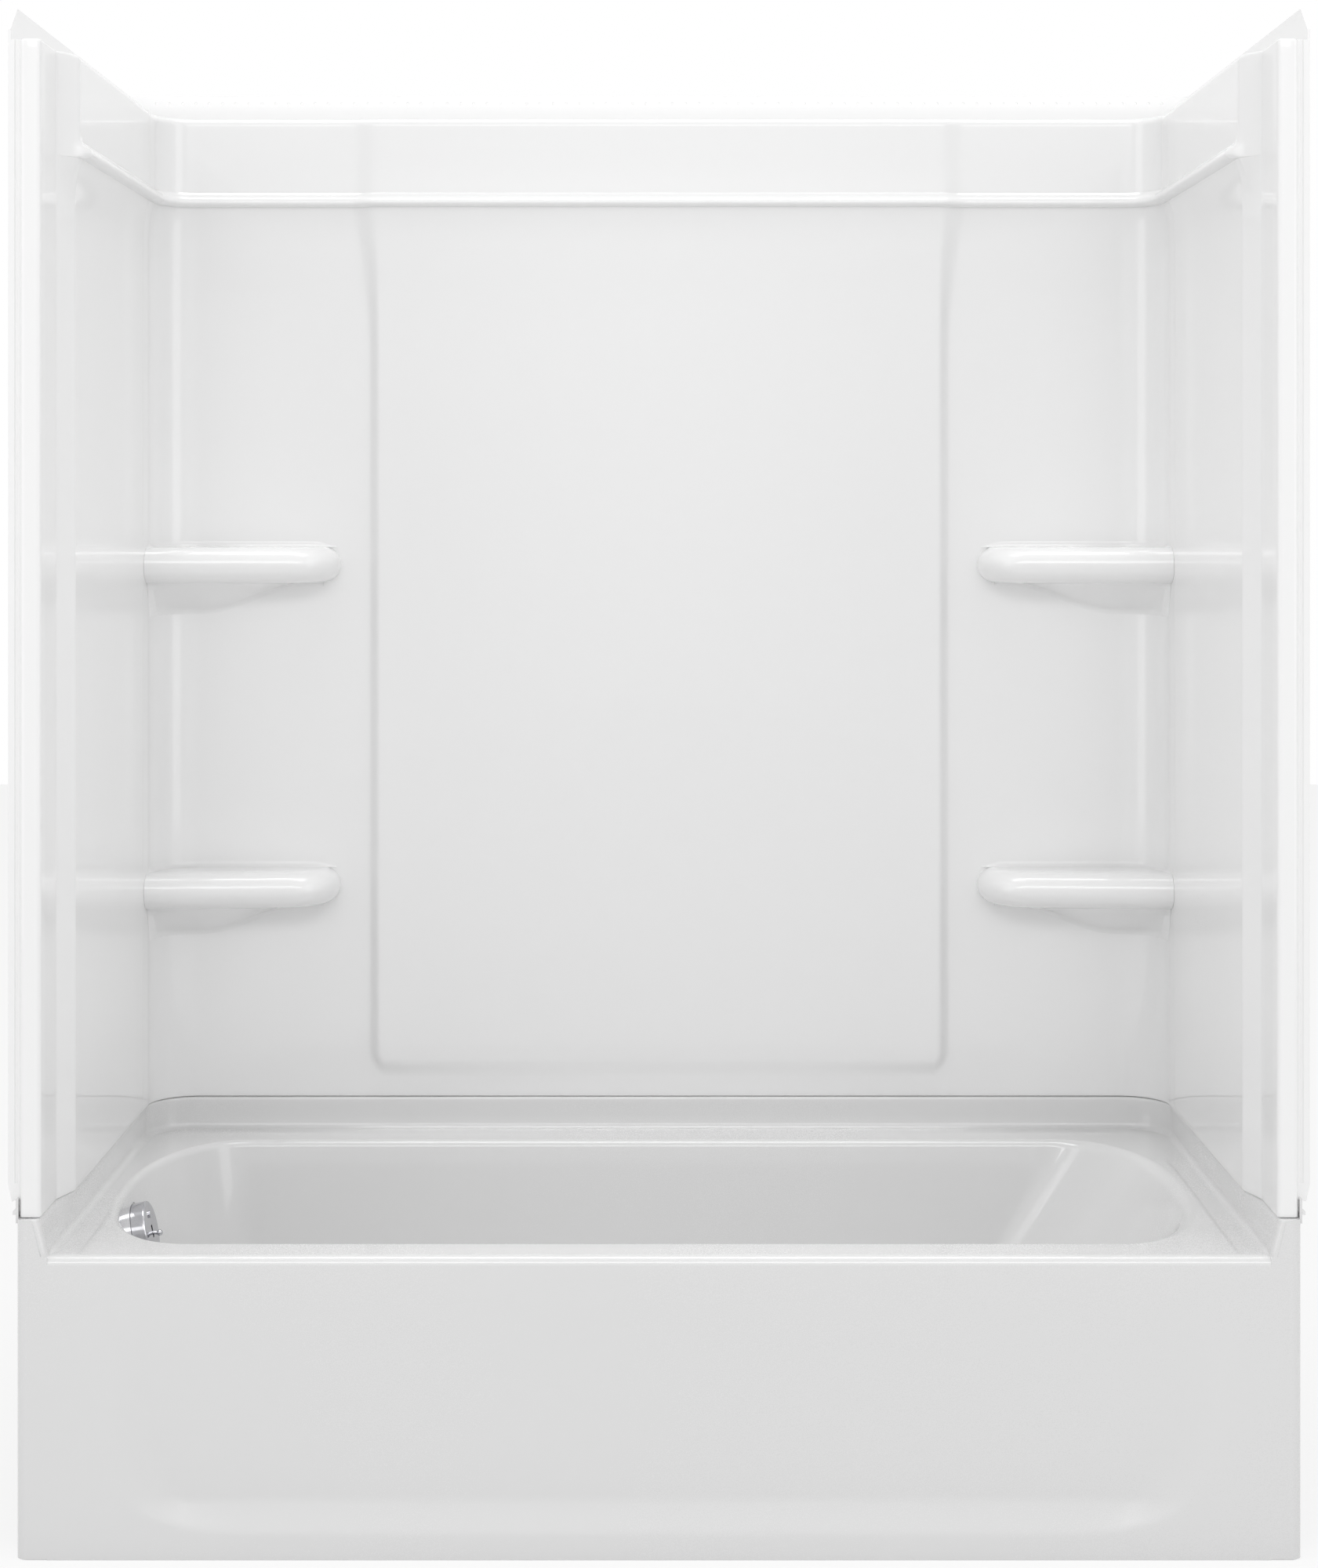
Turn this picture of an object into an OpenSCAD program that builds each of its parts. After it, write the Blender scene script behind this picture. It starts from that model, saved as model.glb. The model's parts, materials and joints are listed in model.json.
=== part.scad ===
// Alcove tub and shower unit: a moulded bathtub with its own apron, a three-piece wall surround that
// stands on the tub's rim, the supports under the basin, and a waste and overflow with a trip lever.
// X runs to the right, Y to the rear and Z up, in millimetres. The origin is on the floor, under the
// middle of the unit. Inside the modules Y is counted back from the apron's face.

/* [Unit] */
// Width over the side nailing flanges, from stud face to stud face
unit_w = 1530; // [1510:2:1550]
// Depth from the apron's face to the rear studs
unit_d = 768; // [750:2:790]
// Height of the wall panels' top edge above the floor
unit_h = 1824; // [1760:2:1900]
// Thickness of the wallboard that laps each side flange
board_t = 12.5; // [10:0.5:16]

/* [Bathtub] */
// Height of the tub's deck above the floor
deck_z = 355; // [350:1:370]
// Height of the seat that carries the wall panels, above the deck
seat_rise = 42.5; // [38:0.5:50]
// Thickness of the tub's moulding
tub_t = 6; // [5:0.5:7]
// Width of the front rim, from the apron's face to the basin
rim_w = 57; // [52:1:65]
// Distance from the rear edge of the basin to the rear studs
rear_deck_w = 149; // [144:1:158]
// Distance from the basin's drain end to the side studs
drain_deck_w = 72; // [70:1:76]
// Distance from the basin's backrest end to the side studs
rest_deck_w = 85; // [76:1:100]
// Depth of the basin, from the deck to its floor
basin_depth = 260; // [252:1:264]
// Length of the basin's rounded ends
end_round = 133; // [110:1:160]
// Radius of the basin's edge where it meets the deck
rim_r = 10; // [8:1:12]
// Radius between the basin's walls and its floor
floor_r = 45; // [35:1:50]
// Slope of the drain end, in degrees from upright
drain_draft = 12; // [9:0.5:14]
// Slope of the backrest, in degrees from upright
rest_draft = 35; // [28:1:40]
// Slope of the basin's front and rear walls, in degrees from upright
side_draft = 7.5; // [5:0.5:10]
// Depth of the apron's relief at its deepest
relief_d = 15; // [8:1:20]
// Height above the seat of the tub's own nailing flange
tub_flange_h = 24; // [18:1:30]

/* [Wall panels] */
// Thickness of the panels' moulding
wall_t = 4; // [3:0.5:5]
// Thickness of a nailing flange
flange_t = 3; // [2:0.5:4]
// Width of the column at the front edge of each end wall
column_w = 25; // [20:1:30]
// How far the side panel stands in from the column
panel_step = 13.5; // [10:0.5:16]
// Distance from the rear studs to the face of the rear wall
rear_gap = 68; // [62:1:74]
// Distance from the rear studs to the joint between end and rear walls
seam_gap = 171; // [160:1:180]
// Radius of the rear wall's corners
corner_r = 62; // [50:1:70]
// Height of the top nailing flange above the panels
top_flange_h = 42; // [36:1:50]
// Height of the plain band above the ledge
band_h = 106; // [90:1:130]
// How far the band stands proud of the panel below it
band_proud = 9; // [6:1:12]
// How far the ledge's nose stands proud of the panel below it
nose_proud = 21; // [17:1:23]
// Height of the ledge's nose
nose_h = 16; // [14:1:20]
// Height of the cove that runs from the ledge's nose back to the panel
cove_h = 52; // [40:1:60]
// Distance from the apron's face to the front end of the ledge
ledge_start = 132; // [125:1:150]
// Width of the raised centre panel, at its face
centre_w = 788; // [700:2:820]
// How far the raised centre panel's edges stand proud
centre_proud = 11; // [8:1:13]
// Length of the ramp from the ledge to its raised centre
centre_ramp = 55; // [40:1:70]
// Diameter of the nail holes in the rear top flange
nail_hole_d = 3.2; // [2.5:0.1:4]
// Pitch of the nail holes
nail_pitch = 19.05; // [15:0.05:25.4]

/* [Shelves] */
// Height of the lower shelf's top above the seat
shelf_low_rise = 324; // [280:1:340]
// Spacing between the two shelves
shelf_step = 453; // [400:1:480]
// Thickness of a shelf's nose
shelf_t = 50; // [38:1:56]
// Length of a shelf along the rear wall, from the end wall's face
shelf_len = 265; // [240:1:280]
// How far a shelf stands out from the rear wall at its corner end
shelf_deep = 98; // [90:1:101]
// How far a shelf stands out from the rear wall at its free end
shelf_shallow = 74; // [50:1:85]
// Depth of the moulded fairing below a shelf
shelf_fair = 46; // [30:1:60]

/* [Joints and supports] */
// Thickness of the sealing strips between the mouldings
seal_t = 2; // [1.5:0.5:3]
// Width of the sealing strips
seal_w = 8; // [6:1:10]
// Thickness of the support board bonded under the basin
support_t = 12; // [9:1:18]
// Distance from the middle of the drain to the support board
support_drain_gap = 107; // [100:1:140]
// Distance from the backrest's foot to the support board
support_rest_gap = 52; // [40:1:80]
// Width of the support board
support_w = 330; // [280:10:340]
// Size of the rail behind the foot of the apron
rail_size = 18; // [12:1:20]

/* [Waste and overflow] */
// Radius of the drain tubes, outside
tube_r = 19.05; // [19.05:0.05:20.05]
// Wall of the drain tubes
tube_wall = 1.5; // [1.2:0.1:2]
// Distance from the side studs to the axis of the overflow tube
tube_gap = 47; // [45:1:50]
// Height of the waste tube's axis above the floor
waste_z = 47; // [46:1:50]
// Distance from the side studs to the middle of the drain
drain_gap = 228; // [220:1:260]
// Depth of the overflow's centre below the deck
overflow_drop = 59; // [55:1:65]
// Radius of the overflow plate
plate_r = 38; // [36:0.5:42]
// Depth of the overflow plate
plate_h = 20; // [18:0.5:24]
// Length of the trip lever, from its pin to its tip
lever_l = 27; // [24:1:34]
// Radius of the plunger
plunger_r = 14.5; // [13.5:0.5:15]
// Height of the plunger
plunger_h = 40; // [30:1:50]

/* [Hidden] */
$fn = 48;

// Planes of the unit: u is the distance from the middle, v the distance back from the apron's face
side_u = unit_w / 2;
apron_u = side_u - board_t;
apron_return = 45;
seat_z = deck_z + seat_rise;
wall_z = seat_z + seal_t;
shell_z = unit_h - top_flange_h;
back_v = unit_d - rear_gap;
seam_v = unit_d - seam_gap;
snug = 0.3;

// The end wall in plan: flange, web, column, ramp and side panel
column_gap = 2;
column_out = apron_u - column_gap;
column_in = column_out - column_w;
face_u = column_in - panel_step;
column_v = 10;
column_r = 6;
flange_v = 16;
flange_w = 38;
flange_back_v = flange_v + flange_w;
column_back_v = flange_v + wall_t;
ramp_v0 = 98;
ramp_v1 = 144;
ramp_r = 14;
flange_z = seat_z + tub_flange_h + 1;
flange_cut_top = [36, 33];
flange_cut_foot = 14;
lap_w = 32;

// The tub in plan and in height
upstand_u = face_u + 2;
upstand_front_u = column_in - 3;
upstand_v = back_v - 6;
basin_left = -side_u + drain_deck_w;
basin_right = side_u - rest_deck_w;
basin_back = unit_d - rear_deck_w;
basin_z = deck_z - basin_depth;
basin_mid_v = (rim_w + basin_back) / 2;
apron_r = 12;
apron_top_z = deck_z - 2 * apron_r;

// Ledge, band and centre panel of the walls
nose_z = shell_z - band_h - nose_h;
centre_z = seat_z + 37;
centre_bevel = 19;
centre_sag = 8;
nail_n = floor((unit_w - 80) / nail_pitch);
nail_drop = 10;

// Shelves
shelf_nose_r = shelf_t / 2;
shelf_z = [wall_z + shelf_low_rise, wall_z + shelf_low_rise + shelf_step];

// Supports
foot_l = 90;
foot_w = 60;
foot_v = support_w / 2 - 50;
foot_inset = 90;
support_x0 = -side_u + drain_gap + support_drain_gap;
support_x1 = basin_right - floor_run(rest_draft) - support_rest_gap;

// Overflow plate: its own axis stands square to the drain end of the basin
tube_u = side_u - tube_gap;
tube_bore = tube_r - tube_wall;
slip = 0.1;
overflow_z = deck_z - overflow_drop;
overflow_x = basin_left + rim_run(drain_draft)
    + (deck_z - rim_r * (1 - sin(drain_draft)) - overflow_z) * tan(drain_draft);
boss_t = tub_t + 2;
overflow_hole_r = 28.5;
gasket_t = 4;
ring_r = 34;
throat_r = 25;
plate_t = 1.6;
plate_screw_x = 21;
screw_r = 2.4;
pin_r = 1.5;
run_gap = 0.05;
pin_up = 6;
pivot_x = overflow_x + pin_up * cos(drain_draft);
pivot_z = overflow_z + pin_up * sin(drain_draft);
arm_l = pivot_x + tube_u;
arm_t = 3;
hub_r = 4;
fork_slot = 6.4;
lug_gap = 4.3;
lug_t = 2.2;
washer_t = 0.5;

// Drain shoe, tee and plunger
drain_x = -side_u + drain_gap;
drain_hole_r = 26;
drain_seat_d = 2;
floor_under = basin_z - tub_t;
fitting_wall = 5;
fitting_r = tube_r + fitting_wall;
socket_l = 18;
seat_ring_z = 22;
seat_ring_t = 5;
seat_ring_r = plunger_r - 2;
spigot_z = 2;
tee_z = waste_z + tube_r + 34;
elbow_z = overflow_z - 52;
elbow_top = overflow_z + 30;
side_socket = tube_u - 34;
lever_up = 24;
lever_down = 8;
link_ratio = arm_l;
plunger_travel = link_ratio * lever_up * PI / 180;
plunger_z = seat_ring_z + seat_ring_t + snug + plunger_travel;
yoke_h = 18;
cheek_t = 1.6;
rod_r = 2.2;

function unit(a) = a / norm(a);
function flat(a) = [a[0], a[1]];
function flip(path) = [for (i = [len(path) - 1:-1:0]) path[i]];
function mirrored(path) = [for (p = flip(path)) concat([-p[0]], [for (k = [1:len(p) - 1]) p[k]])];

// An open path of [x, y, radius] corners with its corners rounded
function rounded(path, steps = 5) = [
    for (i = [0:len(path) - 1])
        each (i == 0 || i == len(path) - 1 || path[i][2] == 0)
            ? [flat(path[i])]
            : corner(flat(path[i - 1]), flat(path[i]), flat(path[i + 1]), path[i][2], steps)
];
function corner(a, b, c, r, steps) =
    let (d1 = unit(a - b), d2 = unit(c - b), half = acos(d1 * d2) / 2)
    let (centre = b + unit(d1 + d2) * r / sin(half), p1 = b + d1 * r / tan(half) - centre)
    let (start = atan2(p1[1], p1[0]), turn = (cross(d1, d2) > 0 ? -1 : 1) * (180 - 2 * half))
    [for (k = [0:steps]) centre + r * [cos(start + turn * k / steps), sin(start + turn * k / steps)]];

// The same path moved t to its right-hand side
function right_of(a, b) = let (d = unit(b - a)) [d[1], -d[0]];
function beside(path, t) = [
    for (i = [0:len(path) - 1])
        let (n1 = right_of(path[max(i - 1, 0)], path[max(i, 1)]))
        let (n2 = right_of(path[min(i, len(path) - 2)], path[min(i + 1, len(path) - 1)]))
        path[i] + t * (n1 + n2) / (1 + n1 * n2)
];
module strip(path, t) {
    polygon(concat(path, flip(beside(path, t))));
}
module layer(z, h) {
    translate([0, 0, z]) linear_extrude(h) children();
}
// Depth and height in the sketch become Y and Z, and the extrusion runs along X from x
module side_plate(x, t) {
    translate([x, 0, 0]) rotate([90, 0, 90]) linear_extrude(t) children();
}
// Everything is placed back from the apron's face
module from_apron() {
    translate([0, -unit_d / 2, 0]) children();
}

// Plan of an end wall, for the right-hand side
function end_path() = rounded([
    [column_out, column_back_v, 0],
    [column_out, column_v, column_r],
    [column_in, column_v, column_r],
    [column_in, ramp_v0, ramp_r],
    [face_u, ramp_v1, ramp_r],
    [face_u, seam_v - seal_t / 2, 0]
]);
// Section of the ledge and band: distance in front of the panel, and height
module ledge_section(side) {
    outline = rounded([
        [-wall_t / 2, nose_z - cove_h, 0],
        [0, nose_z - cove_h, 0],
        [7, nose_z - 5, 12],
        [nose_proud, nose_z, 5],
        [nose_proud - 2, nose_z + 6, 4],
        [band_proud, nose_z + nose_h, 6],
        [band_proud, shell_z, band_proud],
        [-wall_t / 2, shell_z, 0]
    ]);
    polygon([for (p = outline) [side * p[0], p[1]]]);
}
module end_ledge(v0, v1) {
    translate([face_u, v1, 0]) rotate([90, 0, 0]) linear_extrude(v1 - v0) ledge_section(-1);
}
// Plan of the rear wall, moved in by proud
function back_path(proud = 0) = rounded([
    [face_u - proud, seam_v + seal_t / 2, 0],
    [face_u - proud, back_v - proud, corner_r - proud],
    [-face_u + proud, back_v - proud, corner_r - proud],
    [-face_u + proud, seam_v + seal_t / 2, 0]
], 8);

module end_plate() {
    polygon(concat(end_path(), [
        [side_u - flange_t - 1, seam_v - seal_t / 2],
        [side_u - flange_t - 1, flange_back_v + 6],
        [column_out, flange_back_v + 6]
    ]));
}
module end_wall() {
    from_apron() {
        layer(wall_z, shell_z - wall_z) strip(end_path(), wall_t);
        end_ledge(ledge_start, seam_v - seal_t / 2);
        layer(wall_z, wall_t) end_plate();
        layer(shell_z - wall_t, wall_t) polygon(concat(end_path(), [
            [side_u, seam_v - seal_t / 2],
            [side_u, flange_v]
        ]));
        layer(flange_z, shell_z - flange_z) translate([column_out - wall_t, flange_v])
            square([side_u - column_out + wall_t, wall_t]);
        layer(wall_z, shell_z - wall_z) translate([face_u, seam_v - seal_t / 2 - wall_t])
            square([lap_w, wall_t]);
        side_plate(side_u - flange_t, flange_t) polygon([
            [flange_v, flange_z + flange_cut_foot],
            [flange_v + flange_cut_foot, flange_z],
            [flange_back_v, flange_z],
            [flange_back_v, shell_z - wall_t],
            [seam_v - seal_t / 2, shell_z - wall_t],
            [seam_v - seal_t / 2, unit_h],
            [flange_v + flange_cut_top[0], unit_h],
            [flange_v, unit_h - flange_cut_top[1]]
        ]);
    }
}
module right_end_wall() {
    color("white") end_wall();
}
module left_end_wall() {
    color("white") mirror([1, 0, 0]) end_wall();
}

// Plan of a shelf at the right-hand corner, with its free edge drawn back by inset
function shelf_corner(r) = [
    for (a = [0:15:90]) [face_u - corner_r, back_v - corner_r] + r * [cos(a), sin(a)]
];
function shelf_plan(inset) =
    let (tip = face_u - shelf_len + inset, reach = shelf_shallow - inset)
    let (bend = 50, wide = wall_t / 2)
    concat(
        [for (a = [0:15:90]) [tip + bend * (1 - cos(a)), back_v + wide - (reach + wide) * sin(a)]],
        [[face_u + wide, back_v - shelf_deep + inset]],
        shelf_corner(corner_r + wide)
    );
module shelf(z) {
    hull() {
        for (a = [0:30:180])
            layer(z - shelf_nose_r * (1 + cos(a)), 0.1) polygon(shelf_plan(shelf_nose_r * (1 - sin(a))));
        layer(z - shelf_t - shelf_fair, 0.1)
            polygon(concat(shelf_corner(corner_r + wall_t / 2), flip(shelf_corner(corner_r - wall_t / 2))));
    }
}
module shelf_hollow(z) {
    skin = 2 * wall_t;
    layer(z - shelf_t + skin, shelf_t - 2 * skin) polygon([
        [face_u - shelf_len + shelf_nose_r + skin, back_v + rear_gap],
        [face_u - shelf_len + shelf_nose_r + 2 * skin, back_v - shelf_shallow / 2],
        [face_u - 50, back_v - shelf_deep + shelf_nose_r + skin],
        [face_u - corner_r - skin, back_v + rear_gap]
    ]);
}
// Plan of the raised centre panel, drawn back by inset
module centre_plan(inset, back) {
    half = centre_w / 2 - inset;
    face_v = back_v - centre_proud + inset;
    polygon(concat(
        [[-half - centre_bevel, back]],
        [for (k = [-8:8]) [half * k / 8, face_v + centre_sag * (1 - pow(k / 8, 2))]],
        [[half + centre_bevel, back]]
    ));
}
module centre_pad(z, h, proud) {
    half = centre_w / 2;
    face_v = back_v - proud;
    layer(z, h) polygon([
        [-half - centre_ramp, face_v + 1],
        [-half, face_v - centre_proud],
        [half, face_v - centre_proud],
        [half + centre_ramp, face_v + 1],
        [half, back_v + 1],
        [-half, back_v + 1]
    ]);
}
module centre_panel() {
    layer(centre_z, nose_z - centre_z + 1) centre_plan(0, back_v + 1);
}
module centre_hollow() {
    layer(centre_z + wall_t, nose_z - centre_z - wall_t) centre_plan(wall_t, back_v + wall_t + 1);
}
module back_wall() {
    color("white") from_apron() difference() {
        union() {
            layer(wall_z, shell_z - wall_z) strip(back_path(), wall_t);
            side_plate(-face_u + corner_r, 2 * (face_u - corner_r)) translate([back_v, 0]) ledge_section(-1);
            for (s = [0, 1])
                mirror([s, 0, 0]) {
                    end_ledge(seam_v + seal_t / 2, back_v - corner_r);
                    translate([face_u - corner_r, back_v - corner_r, 0]) rotate_extrude(angle = 90)
                        translate([corner_r, 0]) ledge_section(-1);
                }
            centre_pad(nose_z + nose_h, band_h, band_proud);
            centre_pad(nose_z, nose_h, nose_proud - 2);
            layer(wall_z, wall_t) polygon(concat(back_path(), [
                [-side_u + flange_t + 1, seam_v + seal_t / 2],
                [-side_u + flange_t + 1, unit_d - flange_t - 1],
                [side_u - flange_t - 1, unit_d - flange_t - 1],
                [side_u - flange_t - 1, seam_v + seal_t / 2]
            ]));
            layer(shell_z - wall_t, wall_t) polygon(concat(back_path(), [
                [-side_u, seam_v + seal_t / 2],
                [-side_u, unit_d],
                [side_u, unit_d],
                [side_u, seam_v + seal_t / 2]
            ]));
            layer(shell_z - wall_t, top_flange_h + wall_t) strip([
                [side_u, seam_v + seal_t / 2],
                [side_u, unit_d],
                [-side_u, unit_d],
                [-side_u, seam_v + seal_t / 2]
            ], -flange_t);
            for (s = [-1, 1])
                layer(wall_z, shell_z - wall_z)
                    translate([s * (face_u + lap_w / 2), seam_v + seal_t / 2 + wall_t / 2])
                        square([lap_w, wall_t], center = true);
            centre_panel();
            for (z = shelf_z) {
                shelf(z);
                mirror([1, 0, 0]) shelf(z);
            }
        }
        centre_hollow();
        for (z = shelf_z) {
            shelf_hollow(z);
            mirror([1, 0, 0]) shelf_hollow(z);
        }
        for (k = [0:nail_n])
            translate([(k - nail_n / 2) * nail_pitch, unit_d + 1, unit_h - nail_drop])
                rotate([90, 0, 0]) cylinder(d = nail_hole_d, h = flange_t + 2);
    }
}

// Side view of a basin wall, from the deck over the rim, down the slope and round to the floor: how
// far in from the basin's edge, and the height. out moves the line out by the moulding's thickness.
basin_steps = 22;
end_power = 0.9;
rim_steps = 4;
floor_steps = 6;
function rim_run(a) = rim_r * sin(90 - a);
function slope_fall(a) = basin_depth - rim_r * (1 - sin(a)) - floor_r * (1 - sin(a));
function floor_run(a) = rim_run(a) + slope_fall(a) * tan(a) + floor_r * cos(a);
function wall_line(a, out) = concat(
    [for (k = [0:rim_steps]) let (q = (90 - a) * k / rim_steps)
        [(rim_r - out) * sin(q), deck_z - rim_r + (rim_r - out) * cos(q)]],
    [for (k = [0:floor_steps]) let (b = a + (90 - a) * k / floor_steps)
        [floor_run(a) - (floor_r + out) * cos(b), basin_z + floor_r - (floor_r + out) * sin(b)]]
);
// One ring of the basin, with straight sides and rounded ends, through points of the three side views
function basin_ring(left, right, side) =
    let (b = (basin_back - rim_w) / 2 - side[0], a = end_round - side[0])
    concat(
        [for (k = [0:basin_steps]) let (t = -90 + 180 * k / basin_steps, w = pow(cos(t), 2))
            [basin_right - right[0] - a * (1 - bulge(cos(t))), basin_mid_v + b * bulge(sin(t)),
                side[1] + w * (right[1] - side[1])]],
        [for (k = [0:basin_steps]) let (t = 90 + 180 * k / basin_steps, w = pow(cos(t), 2))
            [basin_left + left[0] + a * (1 + bulge(cos(t))), basin_mid_v + b * bulge(sin(t)),
                side[1] + w * (left[1] - side[1])]]
    );
function basin_rings(out) =
    let (left = wall_line(drain_draft, out), right = wall_line(rest_draft, out), side = wall_line(side_draft, out))
    [for (k = [0:len(side) - 1]) basin_ring(left[k], right[k], side[k])];
function level_ring(z) = basin_ring([0, z], [0, z], [0, z]);
function bulge(s) = sign(s) * pow(abs(s), end_power);
module loft(rings) {
    n = len(rings[0]);
    m = len(rings);
    polyhedron(
        [for (r = rings) each r],
        concat(
            [[for (i = [n - 1:-1:0]) i]],
            [[for (i = [0:n - 1]) (m - 1) * n + i]],
            [for (j = [0:m - 2], i = [0:n - 1]) each let (k = (i + 1) % n) [
                [j * n + i, j * n + k, (j + 1) * n + k],
                [j * n + i, (j + 1) * n + k, (j + 1) * n + i]
            ]]
        )
    );
}
module basin_inside() {
    loft(concat([level_ring(deck_z + seat_rise)], basin_rings(0)));
}
module basin_outside() {
    loft(concat([level_ring(deck_z - tub_t / 2)], basin_rings(tub_t)));
}
// The relief in the apron is deepest near its foot and fades out towards the rim
module apron_relief(back) {
    top = [apron_u - 88, deck_z - 55];
    deep = [apron_u - 145, 59];
    foot = [apron_u - 171, 27];
    hull() for (s = [-1, 1]) {
        translate([s * top[0], back, top[1]]) cube([1, 0.1, 1], center = true);
        translate([s * deep[0], back + relief_d, deep[1]]) cube([1, 0.1, 1], center = true);
        translate([s * foot[0], back, foot[1]]) cube([1, 0.1, 1], center = true);
    }
}
function upstand_path(front = tub_t / 2) =
    let (half = [
        [upstand_front_u, front, 0],
        [upstand_front_u, ramp_v0 - 6, ramp_r],
        [upstand_u, ramp_v1 - 6, ramp_r],
        [upstand_u, upstand_v, corner_r]
    ])
    rounded(concat(half, mirrored(half)), 8);
module tub_flange() {
    half = [
        [apron_u + column_gap, column_v],
        [apron_u + column_gap, flange_back_v],
        [side_u, flange_back_v],
        [side_u, unit_d]
    ];
    strip(concat(half, mirrored(half)), -flange_t);
}
module apron() {
    difference() {
        layer(0, seat_z) strip(rounded([
            [apron_u, apron_return, 0],
            [apron_u, 0, apron_r],
            [-apron_u, 0, apron_r],
            [-apron_u, apron_return, 0]
        ]), tub_t);
        translate([0, -tub_t, 0]) rotate([90, 0, 0]) mirror([0, 0, 1]) linear_extrude(4 * tub_t) polygon([
            [-upstand_u, apron_top_z],
            [upstand_u, apron_top_z],
            [upstand_u, deck_z],
            [upstand_front_u, seat_z + 1],
            [-upstand_front_u, seat_z + 1],
            [-upstand_u, deck_z]
        ]);
    }
}
module bathtub() {
    color("white") from_apron() difference() {
        union() {
            apron();
            apron_relief(tub_t);
            side_plate(-upstand_u - 1, 2 * upstand_u + 2) strip(rounded([
                [0, apron_top_z - 1, 0],
                [0, deck_z, apron_r],
                [rim_w / 2, deck_z, 0]
            ]), tub_t);
            layer(deck_z - tub_t, tub_t) polygon(beside(upstand_path(apron_r), tub_t / 2));
            layer(deck_z - tub_t, seat_rise + tub_t) strip(upstand_path(), tub_t);
            layer(seat_z - tub_t, tub_t) polygon(concat(upstand_path(), [
                [-apron_u, tub_t / 2],
                [-apron_u, flange_back_v],
                [-side_u, flange_back_v],
                [-side_u, unit_d],
                [side_u, unit_d],
                [side_u, flange_back_v],
                [apron_u, flange_back_v],
                [apron_u, tub_t / 2]
            ]));
            layer(seat_z - tub_t, tub_flange_h + tub_t) tub_flange();
            basin_outside();
            on_overflow() translate([0, 0, -boss_t]) cylinder(r = plate_r + 4, h = boss_t + 1);
        }
        apron_relief(-0.1);
        basin_inside();
        on_overflow() cylinder(r = plate_r + 2, h = 12);
        on_overflow() translate([0, 0, -2 * boss_t]) cylinder(r = overflow_hole_r, h = 3 * boss_t);
        translate([drain_x, basin_mid_v, floor_under - 1]) cylinder(r = drain_hole_r, h = 2 * tub_t);
        translate([drain_x, basin_mid_v, basin_z - drain_seat_d]) cylinder(r = plate_r, h = tub_t);
    }
}

module tub_seam_seal() {
    lap = 8;
    color("dimgray") from_apron() layer(seat_z, seal_t) {
        for (s = [0, 1])
            mirror([s, 0, 0]) strip(rounded([
                [column_in + lap, column_v + lap, 0],
                [column_in + lap, ramp_v0, 0],
                [face_u + lap, ramp_v1, 0],
                [face_u + lap, seam_v - seal_t / 2, 0]
            ]), seal_w);
        strip(beside(back_path(), lap), seal_w);
    }
}
module corner_seal() {
    from_apron() layer(wall_z + wall_t, shell_z - wall_z - 2 * wall_t)
        translate([face_u + wall_t, seam_v - seal_t / 2]) square([seal_w, seal_t]);
}
module right_corner_seal() {
    color("dimgray") corner_seal();
}
module left_corner_seal() {
    color("dimgray") mirror([1, 0, 0]) corner_seal();
}
// Spring clips pinch the lapped edges of the end and rear walls together behind the joint
clip_n = 4;
module corner_clips() {
    leg = 14;
    clip_t = 1.5;
    grip = wall_t + seal_t / 2;
    from_apron() for (k = [1:clip_n])
        layer(wall_z + (shell_z - wall_z) * k / (clip_n + 1), 30)
            strip([
                [face_u + lap_w - leg, seam_v - grip],
                [face_u + lap_w, seam_v - grip],
                [face_u + lap_w, seam_v + grip],
                [face_u + lap_w - leg, seam_v + grip]
            ], clip_t);
}
module right_corner_clips() {
    color("silver") corner_clips();
}
module left_corner_clips() {
    color("silver") mirror([1, 0, 0]) corner_clips();
}

module support_board() {
    color("burlywood") from_apron() layer(floor_under - support_t, support_t)
        translate([support_x0, basin_mid_v - support_w / 2]) square([support_x1 - support_x0, support_w]);
}
module support_feet() {
    feet = [support_x0 + foot_inset, (support_x0 + support_x1) / 2, support_x1 - foot_inset];
    color("tan") from_apron() for (x = feet, v = [-foot_v, foot_v])
        layer(0, floor_under - support_t) translate([x, basin_mid_v + v]) square([foot_l, foot_w], center = true);
}
module apron_rail() {
    color("burlywood") from_apron() side_plate(-apron_u + 60, 2 * apron_u - 120)
        translate([tub_t, 1]) square([rail_size, rail_size]);
}

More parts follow.
